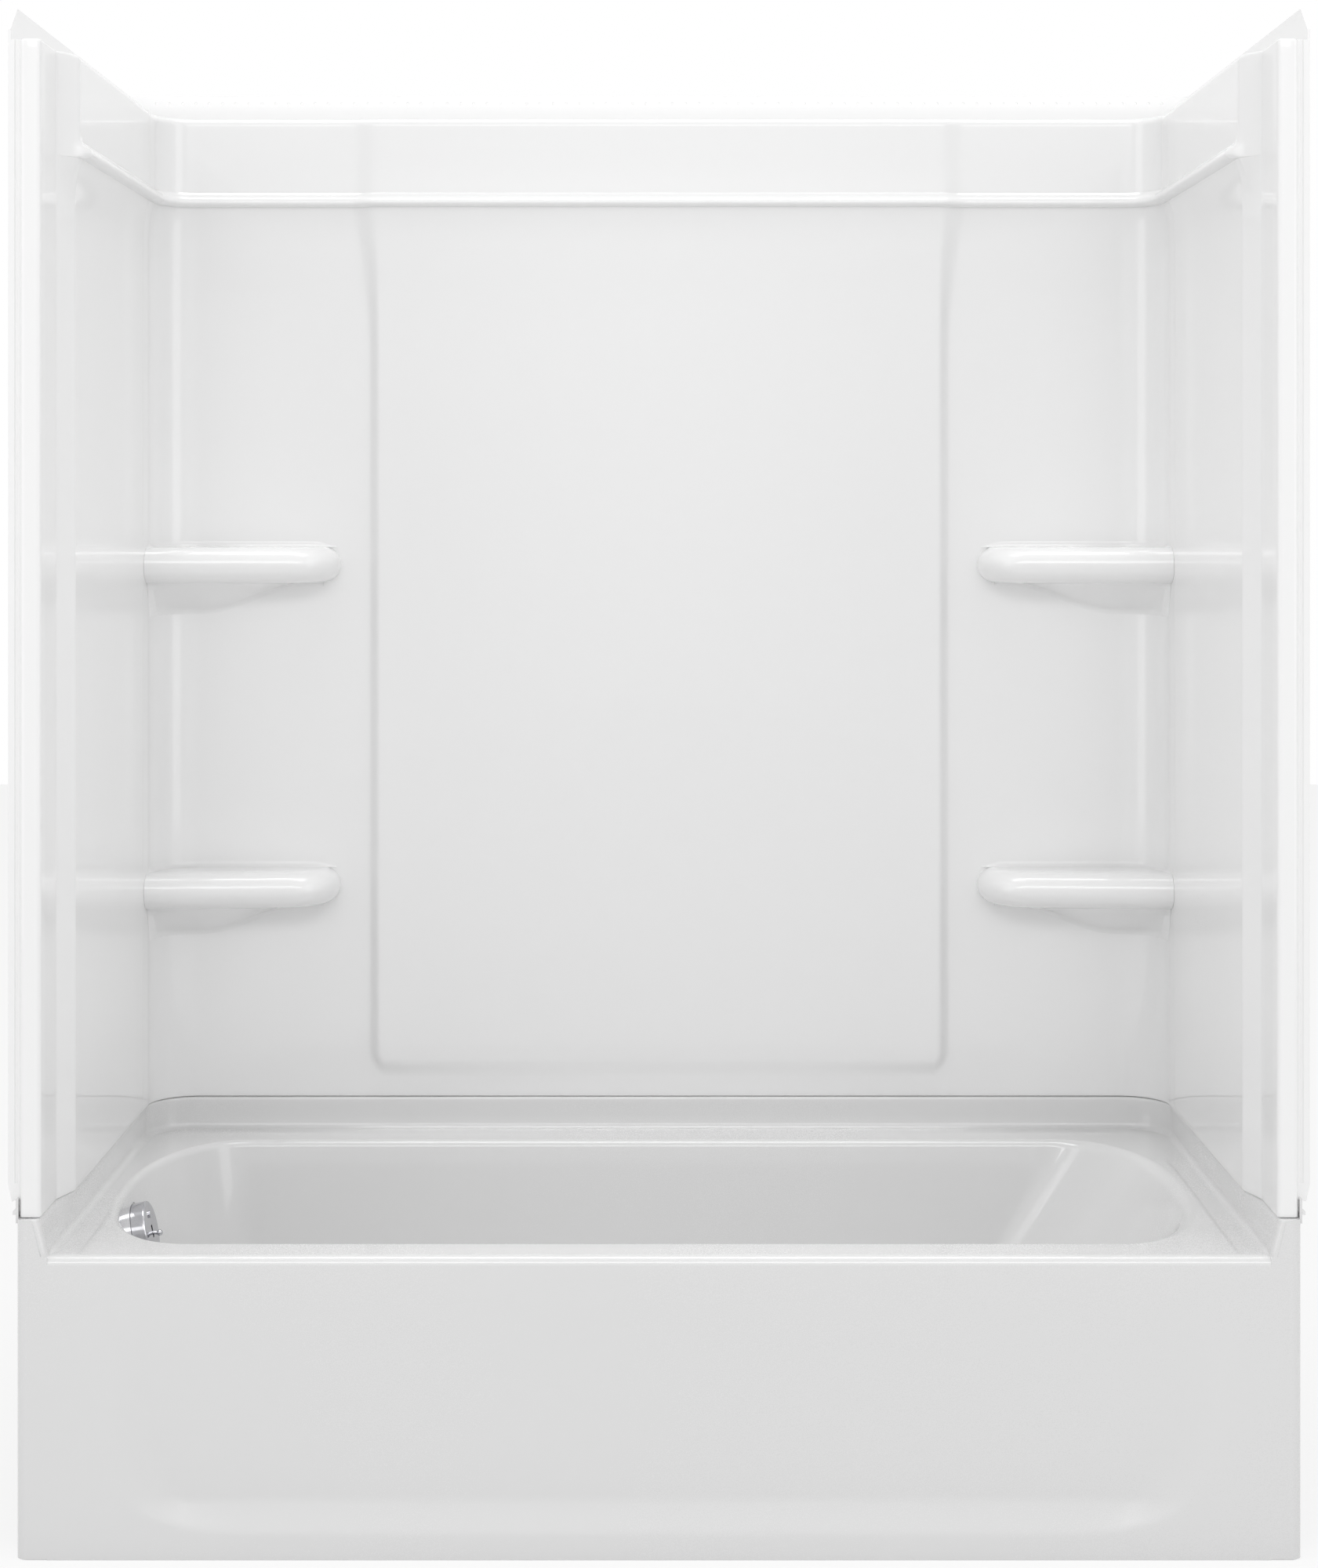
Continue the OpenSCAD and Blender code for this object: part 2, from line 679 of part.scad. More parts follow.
// The overflow's own axis: Z stands out square from the drain end and X points down along it
module on_overflow() {
    translate([overflow_x, basin_mid_v, overflow_z]) rotate([0, 90 - drain_draft, 0]) children();
}
module ring(r_out, r_in, h) {
    difference() {
        cylinder(r = r_out, h = h);
        translate([0, 0, -1]) cylinder(r = r_in, h = h + 2);
    }
}
module overflow_faceplate() {
    edge_r = 3;
    color("silver") from_apron() on_overflow() difference() {
        union() {
            rotate_extrude() difference() {
                polygon(concat(
                    [[0, 0], [plate_r, 0]],
                    [for (a = [0:15:90]) [plate_r - edge_r, plate_h - edge_r] + edge_r * [cos(a), sin(a)]],
                    [[0, plate_h]]
                ));
                square([plate_r - plate_t, plate_h - plate_t]);
            }
            for (s = [-1, 1])
                translate([-hub_r, s * (lug_gap + lug_t / 2) - lug_t / 2, pin_up - hub_r])
                    cube([2 * hub_r, lug_t, plate_h - plate_t / 2 - pin_up + hub_r]);
        }
        translate([1, 0, plate_h]) cube([16, 2 * hub_r - 1.4, 10], center = true);
        for (s = [-1, 1])
            translate([s * plate_screw_x, 0, 0]) cylinder(r = screw_r + 0.2, h = plate_h + 1);
        translate([0, 0, pin_up]) rotate([90, 0, 0])
            cylinder(r = pin_r + run_gap / 2, h = 4 * lug_gap, center = true);
    }
}
module faceplate_screws() {
    head_r = 4.5;
    color("silver") from_apron() on_overflow() for (s = [-1, 1])
        translate([s * plate_screw_x, 0, 0]) difference() {
            union() {
                translate([0, 0, plate_h]) cylinder(r = head_r, h = 2);
                translate([0, 0, -boss_t - gasket_t - 16]) cylinder(r = screw_r, h = plate_h + boss_t + gasket_t + 17);
            }
            translate([0, 0, plate_h + 2]) cube([1.2, 2 * head_r + 1, 2], center = true);
        }
}
module at_pivot() {
    translate([pivot_x, basin_mid_v, pivot_z]) children();
}
module trip_lever() {
    rod = 2.5;
    ball = 4;
    color("silver") from_apron() at_pivot() difference() {
        union() {
            rotate([90, 0, 0]) cylinder(r = hub_r, h = 2 * lug_gap - 2 * washer_t, center = true);
            rotate([0, 90, 0]) cylinder(r = rod, h = lever_l - ball);
            translate([lever_l - ball, 0, 0]) sphere(r = ball);
            rotate([90, 0, 0]) linear_extrude(arm_t, center = true) difference() {
                polygon([
                    [0, hub_r], [-arm_l + 14, 4], [-arm_l + 7, 7], [-arm_l - 7, 7],
                    [-arm_l - 7, -7], [-arm_l + 7, -7], [-arm_l + 14, -4], [0, -hub_r]
                ]);
                translate([-arm_l - 10, -fork_slot / 2]) square([16, fork_slot]);
            }
        }
        rotate([90, 0, 0]) cylinder(r = pin_r + run_gap, h = 4 * lug_gap, center = true);
    }
}
module lever_pin() {
    color("silver") from_apron() at_pivot() rotate([90, 0, 0])
        cylinder(r = pin_r, h = 2 * (lug_gap + lug_t) + 1, center = true);
}
module lever_washer() {
    color("goldenrod") from_apron() at_pivot() translate([0, lug_gap, 0]) rotate([90, 0, 0])
        translate([0, 0, 0.1]) ring(hub_r - 0.5, pin_r + run_gap, washer_t - 0.2);
}
module overflow_gasket() {
    color("dimgray") from_apron() on_overflow() translate([0, 0, -boss_t - gasket_t])
        ring(ring_r, throat_r + 2, gasket_t);
}
module at_tube() {
    translate([-tube_u, basin_mid_v, 0]) children();
}
module overflow_elbow() {
    base = -boss_t - gasket_t;
    drum = arm_l - 8;
    color("dimgray") from_apron() difference() {
        union() {
            at_tube() translate([0, 0, elbow_z]) cylinder(r = fitting_r, h = elbow_top - elbow_z);
            on_overflow() translate([0, 0, -drum]) cylinder(r = throat_r + 3, h = drum + base);
            on_overflow() translate([0, 0, base - 4]) cylinder(r = ring_r, h = 4);
        }
        difference() {
            on_overflow() translate([0, 0, 3 - drum]) cylinder(r = throat_r, h = drum);
            on_overflow() for (s = [-1, 1])
                translate([s * plate_screw_x, 0, base - 12]) cylinder(r = 4.5, h = 10);
        }
        on_overflow() for (s = [-1, 1])
            translate([s * plate_screw_x, 0, base - 20]) cylinder(r = screw_r + run_gap, h = 30);
        at_tube() translate([0, 0, elbow_z - 1]) cylinder(r = tube_r + slip, h = socket_l + 1);
        at_tube() translate([0, 0, elbow_z]) cylinder(r = tube_bore, h = elbow_top - elbow_z - 4);
    }
}
module overflow_tube() {
    color("goldenrod") from_apron() at_tube() translate([0, 0, tee_z - socket_l])
        ring(tube_r, tube_bore, elbow_z + socket_l - tee_z + socket_l);
}
module waste_tee() {
    color("dimgray") from_apron() difference() {
        union() {
            at_tube() translate([0, 0, seat_ring_z]) cylinder(r = fitting_r, h = tee_z - seat_ring_z);
            at_tube() translate([0, 0, spigot_z]) cylinder(r = tube_r, h = seat_ring_z);
            at_tube() translate([0, 0, waste_z]) rotate([0, 90, 0])
                cylinder(r = fitting_r, h = tube_u - side_socket + socket_l);
        }
        at_tube() translate([0, 0, seat_ring_z + seat_ring_t])
            cylinder(r = tube_bore, h = tee_z);
        at_tube() translate([0, 0, tee_z - socket_l]) cylinder(r = tube_r + slip, h = socket_l + 1);
        at_tube() translate([0, 0, -1]) cylinder(r = seat_ring_r, h = tee_z);
        at_tube() translate([0, 0, waste_z]) rotate([0, 90, 0]) cylinder(r = tube_bore, h = tube_u);
        translate([-side_socket, basin_mid_v, waste_z]) rotate([0, 90, 0])
            cylinder(r = tube_r + slip, h = 2 * socket_l);
    }
}
// A slip nut and its washer, standing on the end of a socket
module slip_nut() {
    skirt = 12;
    difference() {
        translate([0, 0, -skirt]) cylinder(r = fitting_r + 5, h = skirt + seal_t + 3, $fn = 8);
        translate([0, 0, -skirt - 1]) cylinder(r = fitting_r + slip, h = skirt + 1 + seal_t);
        translate([0, 0, -1]) cylinder(r = tube_r + snug, h = skirt + seal_t + 6);
    }
}
module slip_washer() {
    ring(fitting_r - 0.5, tube_r + slip, seal_t);
}
module tee_nut() {
    color("goldenrod") from_apron() at_tube() translate([0, 0, tee_z]) slip_nut();
}
module tee_washer() {
    color("dimgray") from_apron() at_tube() translate([0, 0, tee_z]) slip_washer();
}
module at_side_socket() {
    translate([-side_socket + socket_l, basin_mid_v, waste_z]) rotate([0, 90, 0]) children();
}
module shoe_nut() {
    color("goldenrod") from_apron() at_side_socket() slip_nut();
}
module shoe_washer() {
    color("dimgray") from_apron() at_side_socket() slip_washer();
}
module drain_shoe() {
    bowl_r = 28;
    barrel_r = 23.2;
    top = floor_under - gasket_t;
    foot = waste_z - tube_r - 3;
    color("dimgray") from_apron() difference() {
        union() {
            translate([drain_x, basin_mid_v, foot]) cylinder(r = bowl_r, h = top - foot);
            translate([drain_x, basin_mid_v, top - 4]) cylinder(r = ring_r, h = 4);
            translate([-side_socket, basin_mid_v, waste_z]) rotate([0, 90, 0])
                cylinder(r = tube_r, h = side_socket + drain_x);
        }
        translate([drain_x, basin_mid_v, foot + 3]) cylinder(r = barrel_r, h = top);
        translate([-side_socket - 1, basin_mid_v, waste_z]) rotate([0, 90, 0])
            cylinder(r = tube_bore, h = side_socket + drain_x + 1);
    }
}
module shoe_gasket() {
    color("dimgray") from_apron() translate([drain_x, basin_mid_v, floor_under - gasket_t])
        ring(ring_r, drain_hole_r, gasket_t);
}
module drain_flange() {
    barrel_r = 23;
    bar = 5;
    top = basin_z - drain_seat_d;
    barrel_z = floor_under - gasket_t - 16;
    color("silver") from_apron() translate([drain_x, basin_mid_v, 0]) difference() {
        union() {
            translate([0, 0, top]) ring(plate_r - 1, barrel_r - 3, 3);
            translate([0, 0, barrel_z]) ring(barrel_r, barrel_r - 3, top + 3 - barrel_z);
            for (a = [0, 90])
                translate([0, 0, top - 4]) rotate([0, 0, a])
                    cube([2 * barrel_r - 3, bar, 2 * bar], center = true);
        }
        translate([0, 0, top - 20]) cylinder(r = 2, h = 30);
    }
}
module drain_strainer() {
    strainer_r = 30;
    color("silver") from_apron() translate([drain_x, basin_mid_v, basin_z + 1]) difference() {
        cylinder(r = strainer_r, h = 2);
        translate([0, 0, -1]) cylinder(r = 2.3, h = 4);
        for (k = [0:5])
            rotate([0, 0, 60 * k]) translate([9, 0, -1]) cylinder(r = 2.6, h = 4);
        for (k = [0:11])
            rotate([0, 0, 30 * k]) translate([17, 0, -1]) cylinder(r = 2.6, h = 4);
    }
}
module strainer_screw() {
    color("silver") from_apron() translate([drain_x, basin_mid_v, basin_z + 3]) difference() {
        union() {
            cylinder(r = 4.5, h = 2);
            translate([0, 0, -10]) cylinder(r = 1.95, h = 11);
        }
        translate([0, 0, 2]) cube([1.2, 10, 2], center = true);
    }
}

// The linkage hangs inside the overflow tube from a cross pin in the lever's fork
module at_link() {
    translate([-tube_u, basin_mid_v, pivot_z]) children();
}
module linkage_yoke() {
    gap = arm_t / 2 + 0.8;
    wide = 8;
    color("goldenrod") from_apron() at_link() {
        for (s = [-1, 1])
            translate([0, s * (gap + cheek_t / 2), -yoke_h / 2 + 2])
                cube([wide, cheek_t, yoke_h + 4], center = true);
        translate([0, 0, -yoke_h]) cube([wide, 2 * (gap + cheek_t), 6], center = true);
        rotate([90, 0, 0]) cylinder(r = pin_r, h = 2 * (gap + cheek_t), center = true);
    }
}
rod_top = pivot_z - yoke_h - 3;
plunger_top = plunger_z + plunger_h;
module linkage_rod() {
    color("goldenrod") from_apron() at_tube() translate([0, 0, plunger_top])
        cylinder(r = rod_r, h = rod_top - plunger_top);
}
module linkage_nut() {
    color("goldenrod") from_apron() at_tube() translate([0, 0, plunger_top]) difference() {
        cylinder(r = 5, h = 4, $fn = 6);
        translate([0, 0, -1]) cylinder(r = rod_r + run_gap, h = 6);
    }
}
module plunger() {
    color("goldenrod") from_apron() at_tube() translate([0, 0, plunger_z]) difference() {
        cylinder(r = plunger_r, h = plunger_h);
        translate([0, 0, -1]) cylinder(r = plunger_r - 3, h = plunger_h - 4);
    }
}

bathtub();
back_wall();
left_end_wall();
right_end_wall();
tub_seam_seal();
left_corner_seal();
right_corner_seal();
left_corner_clips();
right_corner_clips();
support_board();
support_feet();
apron_rail();
overflow_faceplate();
faceplate_screws();
trip_lever();
lever_pin();
lever_washer();
overflow_gasket();
overflow_elbow();
overflow_tube();
tee_nut();
tee_washer();
waste_tee();
shoe_nut();
shoe_washer();
drain_shoe();
shoe_gasket();
drain_flange();
drain_strainer();
strainer_screw();
linkage_yoke();
linkage_rod();
linkage_nut();
plunger();
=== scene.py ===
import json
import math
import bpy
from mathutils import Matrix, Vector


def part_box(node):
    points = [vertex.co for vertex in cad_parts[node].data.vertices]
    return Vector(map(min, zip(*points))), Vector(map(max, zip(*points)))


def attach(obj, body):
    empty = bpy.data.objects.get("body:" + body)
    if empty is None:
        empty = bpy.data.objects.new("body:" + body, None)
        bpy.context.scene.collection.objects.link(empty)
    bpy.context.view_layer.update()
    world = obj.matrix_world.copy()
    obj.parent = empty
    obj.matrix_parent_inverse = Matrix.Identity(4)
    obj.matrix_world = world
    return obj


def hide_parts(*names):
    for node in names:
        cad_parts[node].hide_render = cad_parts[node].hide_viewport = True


bl_info = {
    "name": "Alcove tub and shower unit",
    "version": (1, 0, 0),
    "blender": (4, 5, 0),
    "location": "View3D > Sidebar > Tub unit",
    "description": "Dresses the mouldings, fittings and stage of an alcove bathtub with its wall surround",
    "category": "Object",
}

from types import SimpleNamespace

import bmesh
import bpy
from mathutils import Vector

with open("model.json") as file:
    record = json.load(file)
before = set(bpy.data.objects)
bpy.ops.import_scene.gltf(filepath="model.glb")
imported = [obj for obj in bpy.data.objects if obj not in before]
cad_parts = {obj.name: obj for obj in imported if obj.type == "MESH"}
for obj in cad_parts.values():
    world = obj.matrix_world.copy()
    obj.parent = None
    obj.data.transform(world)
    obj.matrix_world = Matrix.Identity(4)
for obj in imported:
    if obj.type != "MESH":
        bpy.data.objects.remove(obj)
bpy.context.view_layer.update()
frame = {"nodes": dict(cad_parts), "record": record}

BODY = "unit"
DEPTH = (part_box("bathtub")[1][1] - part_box("bathtub")[0][1]) * 1000
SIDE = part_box("bathtub")[1][0] * 1000
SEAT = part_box("tub_seam_seal")[0][2] * 1000
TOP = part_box("back_wall")[1][2] * 1000
SEAM_GAP = 0.9
WASTE_V = DEPTH - 430.0
DRAIN_X = -SIDE + 228.0
APRON_X = 752.5
SEAT_X = 726.5
WALL_FOOT_X = SIDE - 4.0


# Outlines and shells
def unit(v):
    """The direction of a vector."""
    return v.normalized()


def rounded(corners, steps):
    """A plan outline through (x, v, radius) corners, with each corner rounded."""
    out = []
    last = len(corners) - 1
    for i, (x, v, r) in enumerate(corners):
        b = Vector((x, v))
        if i in (0, last) or r == 0:
            out.append(b)
            continue
        a, c = Vector(corners[i - 1][:2]), Vector(corners[i + 1][:2])
        d1, d2 = unit(a - b), unit(c - b)
        half = math.acos(max(-1, min(1, d1.dot(d2)))) / 2
        centre = b + unit(d1 + d2) * (r / math.sin(half))
        start = b + d1 * (r / math.tan(half)) - centre
        turn = math.pi - 2 * half
        side = -1 if d1.x * d2.y - d1.y * d2.x > 0 else 1
        for k in range(steps + 1):
            t = side * turn * k / steps
            out.append(centre + Vector((
                start.x * math.cos(t) - start.y * math.sin(t),
                start.x * math.sin(t) + start.y * math.cos(t),
            )))
    return out


def mirrored(points):
    """The outline's other half, on the far side of the middle."""
    return [Vector((-p.x, p.y)) for p in reversed(points)]


def with_stops(points, stops):
    """The same outline with extra points where a run along X passes each of the stops."""
    out = [points[0]]
    for a, b in zip(points, points[1:]):
        if abs(a.y - b.y) < 1e-6 and abs(a.x - b.x) > 20:
            low, high = min(a.x, b.x) + 0.5, max(a.x, b.x) - 0.5
            inside = sorted((s for s in stops if low < s < high), reverse=a.x > b.x)
            out += [Vector((s, a.y)) for s in inside]
        out.append(b)
    return out


def inward(points):
    """Unit normals on the left of the outline, the side that faces the bather."""
    out = []
    for i in range(len(points)):
        d1 = unit(points[i] - points[i - 1]) if i else None
        d2 = unit(points[i + 1] - points[i]) if i < len(points) - 1 else None
        d1, d2 = d1 or d2, d2 or d1
        n1, n2 = Vector((-d1.y, d1.x)), Vector((-d2.y, d2.x))
        out.append((n1 + n2) / (1 + n1.dot(n2)))
    return out


def ease(t):
    """A smooth rise from 0 to 1."""
    t = max(0.0, min(1.0, t))
    return t * t * (3 - 2 * t)


def smoother(t):
    """A rise from 0 to 1 whose ends are softer still."""
    t = max(0.0, min(1.0, t))
    return t * t * t * (t * (6 * t - 15) + 10)


def even_ramp(t, blend=0.2):
    """A straight rise from 0 to 1 with both of its ends rounded."""
    t = max(0.0, min(1.0, t))
    if t < blend:
        return t * t / (2 * blend * (1 - blend))
    if t > 1 - blend:
        return 1 - (1 - t) ** 2 / (2 * blend * (1 - blend))
    return (t - blend / 2) / (1 - blend)


class Shell:
    """Collects closed skins of points in millimetres: x, v back from the apron's face, and z."""

    def __init__(self):
        self.verts = []
        self.faces = []

    def tube(self, rings, closed=False):
        """Joins rings of equal length one after the other, and caps or closes the ends."""
        base, n = len(self.verts), len(rings[0])
        for r in rings:
            self.verts += r
        m = len(rings)
        for j in range(m if closed else m - 1):
            a, b = base + j * n, base + ((j + 1) % m) * n
            self.faces += [(a + i, a + (i + 1) % n, b + (i + 1) % n, b + i) for i in range(n)]
        if not closed:
            self.faces.append(tuple(range(base, base + n)))
            self.faces.append(tuple(range(base + (m - 1) * n, base + m * n)))

    def plate(self, outline, low, high):
        """An outline in plan, between two heights."""
        self.tube([[(p[0], p[1], z) for p in outline] for z in (low, high)])

    def box(self, low, high):
        """A plain box between two corners."""
        (x0, v0, z0), (x1, v1, z1) = low, high
        self.plate([(x0, v0), (x1, v0), (x1, v1), (x0, v1)], z0, z1)

    def mesh(self, name, sharp=35.0):
        """The skins as one mesh in metres, with edges past the angle kept sharp."""
        me = bpy.data.meshes.new(name)
        points = [(x / 1000, (v - DEPTH / 2) / 1000, z / 1000) for x, v, z in self.verts]
        me.from_pydata(points, [], self.faces)
        return clean(me, sharp)


def clean(me, sharp=35.0):
    """Merges doubles, turns the faces outwards and marks the sharp edges."""
    bm = bmesh.new()
    bm.from_mesh(me)
    bmesh.ops.remove_doubles(bm, verts=bm.verts, dist=1e-6)
    bmesh.ops.recalc_face_normals(bm, faces=bm.faces)
    limit = math.radians(sharp)
    for f in bm.faces:
        f.smooth = True
    for e in bm.edges:
        e.smooth = len(e.link_faces) == 2 and e.calc_face_angle(0.0) < limit
    bm.to_mesh(me)
    bm.free()
    return me


def join_meshes(meshes, name):
    """One mesh of several."""
    bm = bmesh.new()
    for me in meshes:
        bm.from_mesh(me)
    joined = bpy.data.meshes.new(name)
    bm.to_mesh(joined)
    bm.free()
    return joined


def add_piece(name, me, slot, node):
    """Puts a moulding in the place of a node, with the finish of its material slot."""
    obj = bpy.data.objects.new(name, me)
    bpy.context.scene.collection.objects.link(obj)
    me.materials.clear()
    me.materials.append(finish(slot))
    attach(obj, BODY)
    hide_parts(node)


def plain_mesh(obj):
    """The object's mesh with its modifiers applied."""
    bpy.context.view_layer.update()
    graph = bpy.context.evaluated_depsgraph_get()
    return bpy.data.meshes.new_from_object(obj.evaluated_get(graph), depsgraph=graph)


def cut(obj_mesh, cutters, name):
    """The mesh with each cutter's mesh taken out of it."""
    obj = bpy.data.objects.new(name, obj_mesh)
    bpy.context.scene.collection.objects.link(obj)
    helpers = []
    for k, c in enumerate(cutters):
        tool = bpy.data.objects.new(f"{name}_tool_{k}", c)
        bpy.context.scene.collection.objects.link(tool)
        mod = obj.modifiers.new(f"cut_{k}", "BOOLEAN")
        mod.operation = "DIFFERENCE"
        mod.solver = "EXACT"
        mod.object = tool
        helpers.append(tool)
    out = plain_mesh(obj)
    for o in [obj, *helpers]:
        bpy.data.objects.remove(o)
    return out


# Shader maths
class Socket:
    """A shader socket that adds, subtracts and multiplies like a number."""

    def __init__(self, tree, link):
        self.tree, self.link = tree, link

    def _math(self, kind, a, b):
        n = self.tree.nodes.new("ShaderNodeMath")
        n.operation = kind
        for k, v in enumerate([a, b]):
            if isinstance(v, Socket):
                self.tree.links.new(v.link, n.inputs[k])
            else:
                n.inputs[k].default_value = v
        return Socket(self.tree, n.outputs[0])

    def __add__(self, o):
        return self._math("ADD", self, o)

    def __radd__(self, o):
        return self._math("ADD", o, self)

    def __sub__(self, o):
        return self._math("SUBTRACT", self, o)

    def __rsub__(self, o):
        return self._math("SUBTRACT", o, self)

    def __mul__(self, o):
        return self._math("MULTIPLY", self, o)

    def __rmul__(self, o):
        return self._math("MULTIPLY", o, self)


class Finish:
    """One material, built up a node at a time."""

    def __init__(self, name):
        self.material = bpy.data.materials.new(name)
        self.material.use_nodes = True
        self.tree = self.material.node_tree
        self.tree.nodes.clear()

    def node(self, kind, settings=None, inputs=None, output=0):
        """Adds a node: its settings first, then the values or links of its sockets."""
        n = self.tree.nodes.new(kind)
        for key, value in (settings or {}).items():
            setattr(n, key, value)
        for key, value in (inputs or {}).items():
            if isinstance(value, Socket):
                self.tree.links.new(value.link, n.inputs[key])
            else:
                n.inputs[key].default_value = value
        return Socket(self.tree, n.outputs[output])

    def place(self, scale):
        """Object coordinates, stretched by a scale."""
        where = self.node("ShaderNodeTexCoord", output=3)
        return self.node("ShaderNodeMapping", {}, {"Vector": where, "Scale": scale})

    def noise(self, scale, detail, roughness=0.5, stretch=(1, 1, 1)):
        """A soft random pattern from 0 to 1."""
        return self.node("ShaderNodeTexNoise", {}, {
            "Vector": self.place(stretch), "Scale": scale, "Detail": detail, "Roughness": roughness,
        })

    def tint(self, factor, dark, light):
        inputs = {0: factor, 6: (*dark, 1), 7: (*light, 1)}
        return self.node("ShaderNodeMix", {"data_type": "RGBA"}, inputs, output=2)

    def bump(self, height, strength, distance):
        return self.node("ShaderNodeBump", {}, {"Height": height, "Strength": strength, "Distance": distance})

    def shade(self, **inputs):
        return self.output(self.node("ShaderNodeBsdfPrincipled", {}, inputs))

    def output(self, surface):
        end = self.tree.nodes.new("ShaderNodeOutputMaterial")
        self.tree.links.new(surface.link, end.inputs["Surface"])
        return self.material


def gloss_white(name, colour, roughness):
    """A glossy moulding with faint clouds, fine grain and a slight ripple."""
    f = Finish(name)
    cloud = f.noise(2.2, 3.0)
    grain = f.noise(900.0, 1.0)
    ripple = f.noise(26.0, 2.0)
    dark = tuple(c * 0.985 for c in colour)
    return f.shade(**{
        "Base Color": f.tint(cloud, dark, colour),
        "Roughness": roughness + (cloud - 0.5) * 0.05 + (grain - 0.5) * 0.03,
        "Coat Weight": 0.85,
        "Coat Roughness": 0.04,
        "Specular IOR Level": 0.4,
        "Normal": f.bump(ripple, 0.04, 0.0006),
    })


def polished_chrome(name):
    """Plated metal with a little haze and hairline scratches."""
    f = Finish(name)
    haze = f.noise(140.0, 3.0)
    scratches = f.noise(900.0, 2.0, stretch=(1, 1, 14))
    return f.shade(**{
        "Base Color": f.tint(haze, (0.5, 0.5, 0.53), (0.62, 0.62, 0.64)),
        "Metallic": 1.0,
        "Roughness": 0.07 + haze * 0.05 + scratches * 0.03,
        "Normal": f.bump(scratches, 0.03, 0.0001),
    })


def drawn_metal(name, dark, light, roughness):
    """Metal with drawing lines along its height and a few stains."""
    f = Finish(name)
    lines = f.noise(420.0, 3.0, stretch=(1, 1, 0.08))
    stain = f.noise(38.0, 4.0)
    return f.shade(**{
        "Base Color": f.tint(stain, dark, light),
        "Metallic": 1.0,
        "Roughness": roughness + lines * 0.12 + stain * 0.1,
        "Normal": f.bump(lines, 0.12, 0.0002),
    })


def black_fitting(name, colour, roughness, grit):
    """Rubber, foam or pipe plastic with fine pits."""
    f = Finish(name)
    cloud = f.noise(60.0, 3.0)
    pits = f.noise(grit, 2.0)
    light = tuple(c * 1.7 + 0.01 for c in colour)
    return f.shade(**{
        "Base Color": f.tint(cloud, colour, light),
        "Roughness": roughness + pits * 0.12,
        "Normal": f.bump(pits, 0.18, 0.0003),
    })


def raw_board(name):
    """Pressed board with strands and flecks."""
    f = Finish(name)
    strand = f.noise(55.0, 5.0, 0.7, stretch=(0.25, 1, 1))
    fleck = f.node("ShaderNodeTexVoronoi", {"feature": "F1"}, {"Vector": f.place((0.4, 1, 1)), "Scale": 90.0})
    tone = strand * 0.7 + fleck * 0.5
    return f.shade(**{
        "Base Color": f.tint(tone, (0.34, 0.22, 0.12), (0.68, 0.52, 0.33)),
        "Roughness": 0.78 + fleck * 0.1,
        "Normal": f.bump(tone, 0.4, 0.001),
    })


# Settings
def length_of(name, description, metres):
    """A size of a moulding that a user may change."""
    return bpy.props.FloatProperty(name=name, description=description, default=metres, unit="LENGTH")


def slope_of(name, description, degrees):
    """An angle of a moulding that a user may change."""
    angle = math.radians(degrees)
    return bpy.props.FloatProperty(name=name, description=description, default=angle, subtype="ANGLE")


class TubSettings(bpy.types.PropertyGroup):
    """Sizes of the bathtub's moulding"""

    deck: length_of("Deck height", "Height of the deck", 0.355)
    thick: length_of("Thickness", "Thickness of the moulding", 0.006)
    rim_width: length_of("Front rim", "Apron's face to the basin", 0.057)
    rear_rim: length_of("Rear rim", "Rear studs to the basin", 0.149)
    drain_rim: length_of("Drain rim", "Side studs to the drain end", 0.072)
    rest_rim: length_of("Backrest rim", "Side studs to the backrest end", 0.085)
    basin: length_of("Basin depth", "Deck to the basin's floor", 0.26)
    end_round: length_of("End length", "Length of the rounded ends", 0.133)
    rim_radius: length_of("Rim radius", "Radius of the basin's edge", 0.011)
    rest_radius: length_of("Backrest edge", "Edge radius at the backrest", 0.026)
    floor_radius: length_of("Floor radius", "Wall to floor radius", 0.05)
    drain_draft: slope_of("Drain end slope", "Slope from upright", 12)
    rest_draft: slope_of("Backrest slope", "Slope from upright", 35)
    side_draft: slope_of("Side slope", "Slope from upright", 7.5)
    relief: length_of("Apron relief", "Deepest part of the relief", 0.014)
    roll: length_of("Roll radius", "Radius of the apron's top edge", 0.012)


class WallSettings(bpy.types.PropertyGroup):
    """Sizes of the wall panels"""

    thick: length_of("Thickness", "Thickness of the moulding", 0.004)
    shell_top: length_of("Panel top", "Height of the panels' top", 1.782)
    face: length_of("Side panel", "Middle to the side panel's face", 0.712)
    rear: length_of("Rear panel", "Apron's face to the rear panel", 0.7)
    seam: length_of("Joint", "Apron's face to the upright joint", 0.597)
    corner: length_of("Corner radius", "Radius of the rear corners", 0.062)
    nose: length_of("Ledge height", "Height of the ledge's lower edge", 1.66)
    nose_out: length_of("Ledge", "How far the ledge stands out", 0.0215)
    band_out: length_of("Band", "How far the band stands out", 0.009)
    centre_half: length_of("Centre half", "Half width of the centre panel", 0.394)
    centre_out: length_of("Centre", "How far the centre panel stands out", 0.011)
    centre_foot: length_of("Centre foot", "Height of its lower edge", 0.4245)
    low_shelf: length_of("Lower shelf", "Height of the lower shelf's top", 0.7235)
    high_shelf: length_of("Upper shelf", "Height of the upper shelf's top", 1.1765)
    shelf_length: length_of("Shelf length", "Side panel to the shelf's tip", 0.262)
    shelf_depth: length_of("Shelf depth", "Rear panel to the shelf's front", 0.1)
    shelf_thick: length_of("Shelf thickness", "Thickness of the shelf's nose", 0.05)
    shelf_cove: length_of("Shelf cove", "Hollow radius behind the shelf", 0.008)


